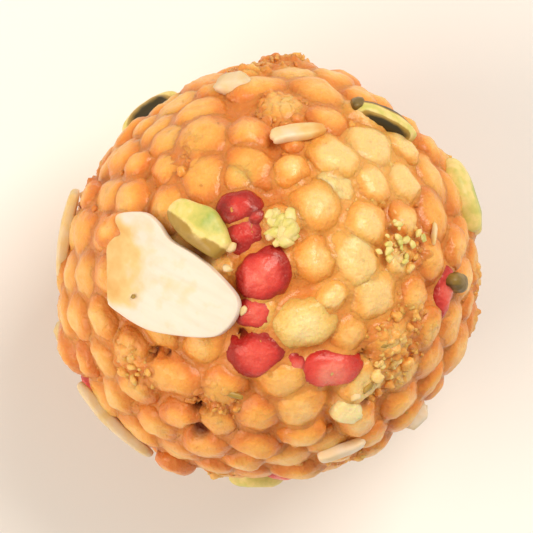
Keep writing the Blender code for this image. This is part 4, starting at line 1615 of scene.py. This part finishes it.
class MakePearls(bpy.types.Operator):
    """Makes the pearls of every colour"""

    bl_idname = "laddu.pearls"
    bl_label = "Pearls"

    def execute(self, context):
        seats = pearl_seats()
        orange, red, pale = (
            [seat for seat in seats if seat[3] == kind] for kind in ("pearl", "red_pearl", "pale_pearl")
        )
        for number, shown in SHOWN_RED.items():
            red[number] = seat_at(*shown, "red_pearl")
        red += [seat_at(*bit, "red_pearl") for bit in RED_BITS]
        pale += [seat_at(*bit, "pale_pearl") for bit in PALE_BITS]
        orange += [seat_at(*squashed, "squashed") for squashed in SQUASHED_PEARLS]
        orange += [seat_at(*filling, "pearl") for filling in FILLING_PEARLS]
        gaps = pits(seats)
        tree = pearl_tree()
        pearls("boondi_orange", orange, gaps, tree, main_boondi(), 31)
        pearls("boondi_red", red, gaps, tree, red_boondi(), 33)
        pearls("boondi_pale", pale, gaps, tree, pale_boondi(), 34)
        return {"FINISHED"}


class MakeBinder(bpy.types.Operator):
    """Makes the crumbs and syrup that fill the ball between its pearls"""

    bl_idname = "laddu.binder"
    bl_label = "Binding crumbs"

    def execute(self, context):
        named = bpy.data.objects
        middle = packed_middle([named["boondi_orange"], named["boondi_red"], named["boondi_pale"]])
        binder = grown_mesh("binding_crumbs", middle, binder_tree(), {"Material": binding_crumb()})
        dress(binder)
        tree = crumb_tree()
        # A pearl's first slot is the coarse ball's empty one, and its material comes last
        coarse = {"Material": named["boondi_orange"].data.materials[-1]}
        bits = grown_mesh("broken_boondi", binder.data.copy(), tree, coarse)
        dress(bits)
        fine = {
            **coarse,
            "Bits per square metre": 2000000.0, "Room between": 0.00065, "Sunk share": 0.5,
            "Smallest": 0.00018, "Largest": 0.00042, "Roundness": 0, "Seed": 9,
            "Break depth": 0.0009, "Break size": 0.0006, "Grit depth": 0.0,
        }
        crumbs = grown_mesh("loose_crumbs", binder.data.copy(), tree, fine)
        dress(crumbs)
        return {"FINISHED"}


class MakeNuts(bpy.types.Operator):
    """Makes the almond and pistachio pieces"""

    bl_idname = "laddu.nuts"
    bl_label = "Nuts"

    def execute(self, context):
        pieces = nut_pieces()
        joined_piece("almond_pieces", almond_parts(pieces), cut_almond())
        joined_piece("pistachio_pieces", pistachio_parts(pieces), split_pistachio())
        return {"FINISHED"}


def soft_light(name, place, aim, size, power, colour):
    """A square softbox, aimed at a point."""
    data = bpy.data.lights.new(name, "AREA")
    data.size = size
    data.energy = power
    data.color = linear(colour)
    obj = bpy.data.objects.new(name, data)
    obj.location = place
    obj.rotation_euler = (Vector(aim) - Vector(place)).to_track_quat("-Z", "Y").to_euler()
    bpy.context.scene.collection.objects.link(obj)


class MakeStage(bpy.types.Operator):
    """Makes the floor, the lights and the camera"""

    bl_idname = "laddu.stage"
    bl_label = "Stage"

    def execute(self, context):
        scene = context.scene
        corners = [(x * FLOOR_HALF, y * FLOOR_HALF, 0.0) for x, y in ((-1, -1), (1, -1), (1, 1), (-1, 1))]
        mesh = bpy.data.meshes.new("floor")
        mesh.from_pydata(corners, [], [(0, 1, 2, 3)])
        mesh.materials.append(pale_surface())
        floor = bpy.data.objects.new("floor", mesh)
        floor.location.z = -FLOOR_GAP
        scene.collection.objects.link(floor)

        for name, place, size, power, hex_colour in LIGHTS:
            soft_light(name, place, CENTRE, size, power, hex_colour)
        world = bpy.data.worlds.new("studio")
        world.use_nodes = True
        sky = next(n for n in world.node_tree.nodes if n.type == "BACKGROUND")
        set_values(sky, {"Color": (*linear(ROOM_COLOUR), 1.0), "Strength": ROOM_STRENGTH})
        scene.world = world
        scene.view_settings.view_transform = "Standard"

        data = bpy.data.cameras.new("camera")
        data.lens = CAMERA_LENS
        data.clip_start = 0.05
        data.clip_end = 10.0
        camera = bpy.data.objects.new("camera", data)
        back = Vector((0.0, -math.cos(CAMERA_RISE), math.sin(CAMERA_RISE)))
        camera.location = CENTRE + CAMERA_DISTANCE * back
        camera.rotation_euler = (-back).to_track_quat("-Z", "Y").to_euler()
        scene.collection.objects.link(camera)
        scene.camera = camera
        return {"FINISHED"}


class LadduPanel(bpy.types.Panel):
    """Lists the laddu's sizes and colours, and what makes its pieces"""

    bl_idname = "VIEW3D_PT_laddu"
    bl_label = "Boondi laddu"
    bl_space_type = "VIEW_3D"
    bl_region_type = "UI"
    bl_category = "Laddu"

    def draw(self, context):
        for name in LadduSizes.__annotations__:
            self.layout.prop(context.scene.laddu_sizes, name)
        for name in LadduColours.__annotations__:
            self.layout.prop(context.scene.laddu_colours, name)
        for operator in OPERATORS:
            self.layout.operator(operator.bl_idname)


OPERATORS = (MakePearls, MakeBinder, MakeNuts, MakeStage)
CLASSES = (LadduSizes, LadduColours, *OPERATORS, LadduPanel)


def register():
    for kind in CLASSES:
        bpy.utils.register_class(kind)
    bpy.types.Scene.laddu_sizes = bpy.props.PointerProperty(type=LadduSizes)
    bpy.types.Scene.laddu_colours = bpy.props.PointerProperty(type=LadduColours)


def unregister():
    del bpy.types.Scene.laddu_colours
    del bpy.types.Scene.laddu_sizes
    for kind in reversed(CLASSES):
        bpy.utils.unregister_class(kind)


def main():
    register()
    bpy.ops.laddu.pearls()
    bpy.ops.laddu.binder()
    bpy.ops.laddu.nuts()
    bpy.ops.laddu.stage()


if __name__ == "__main__":
    main()
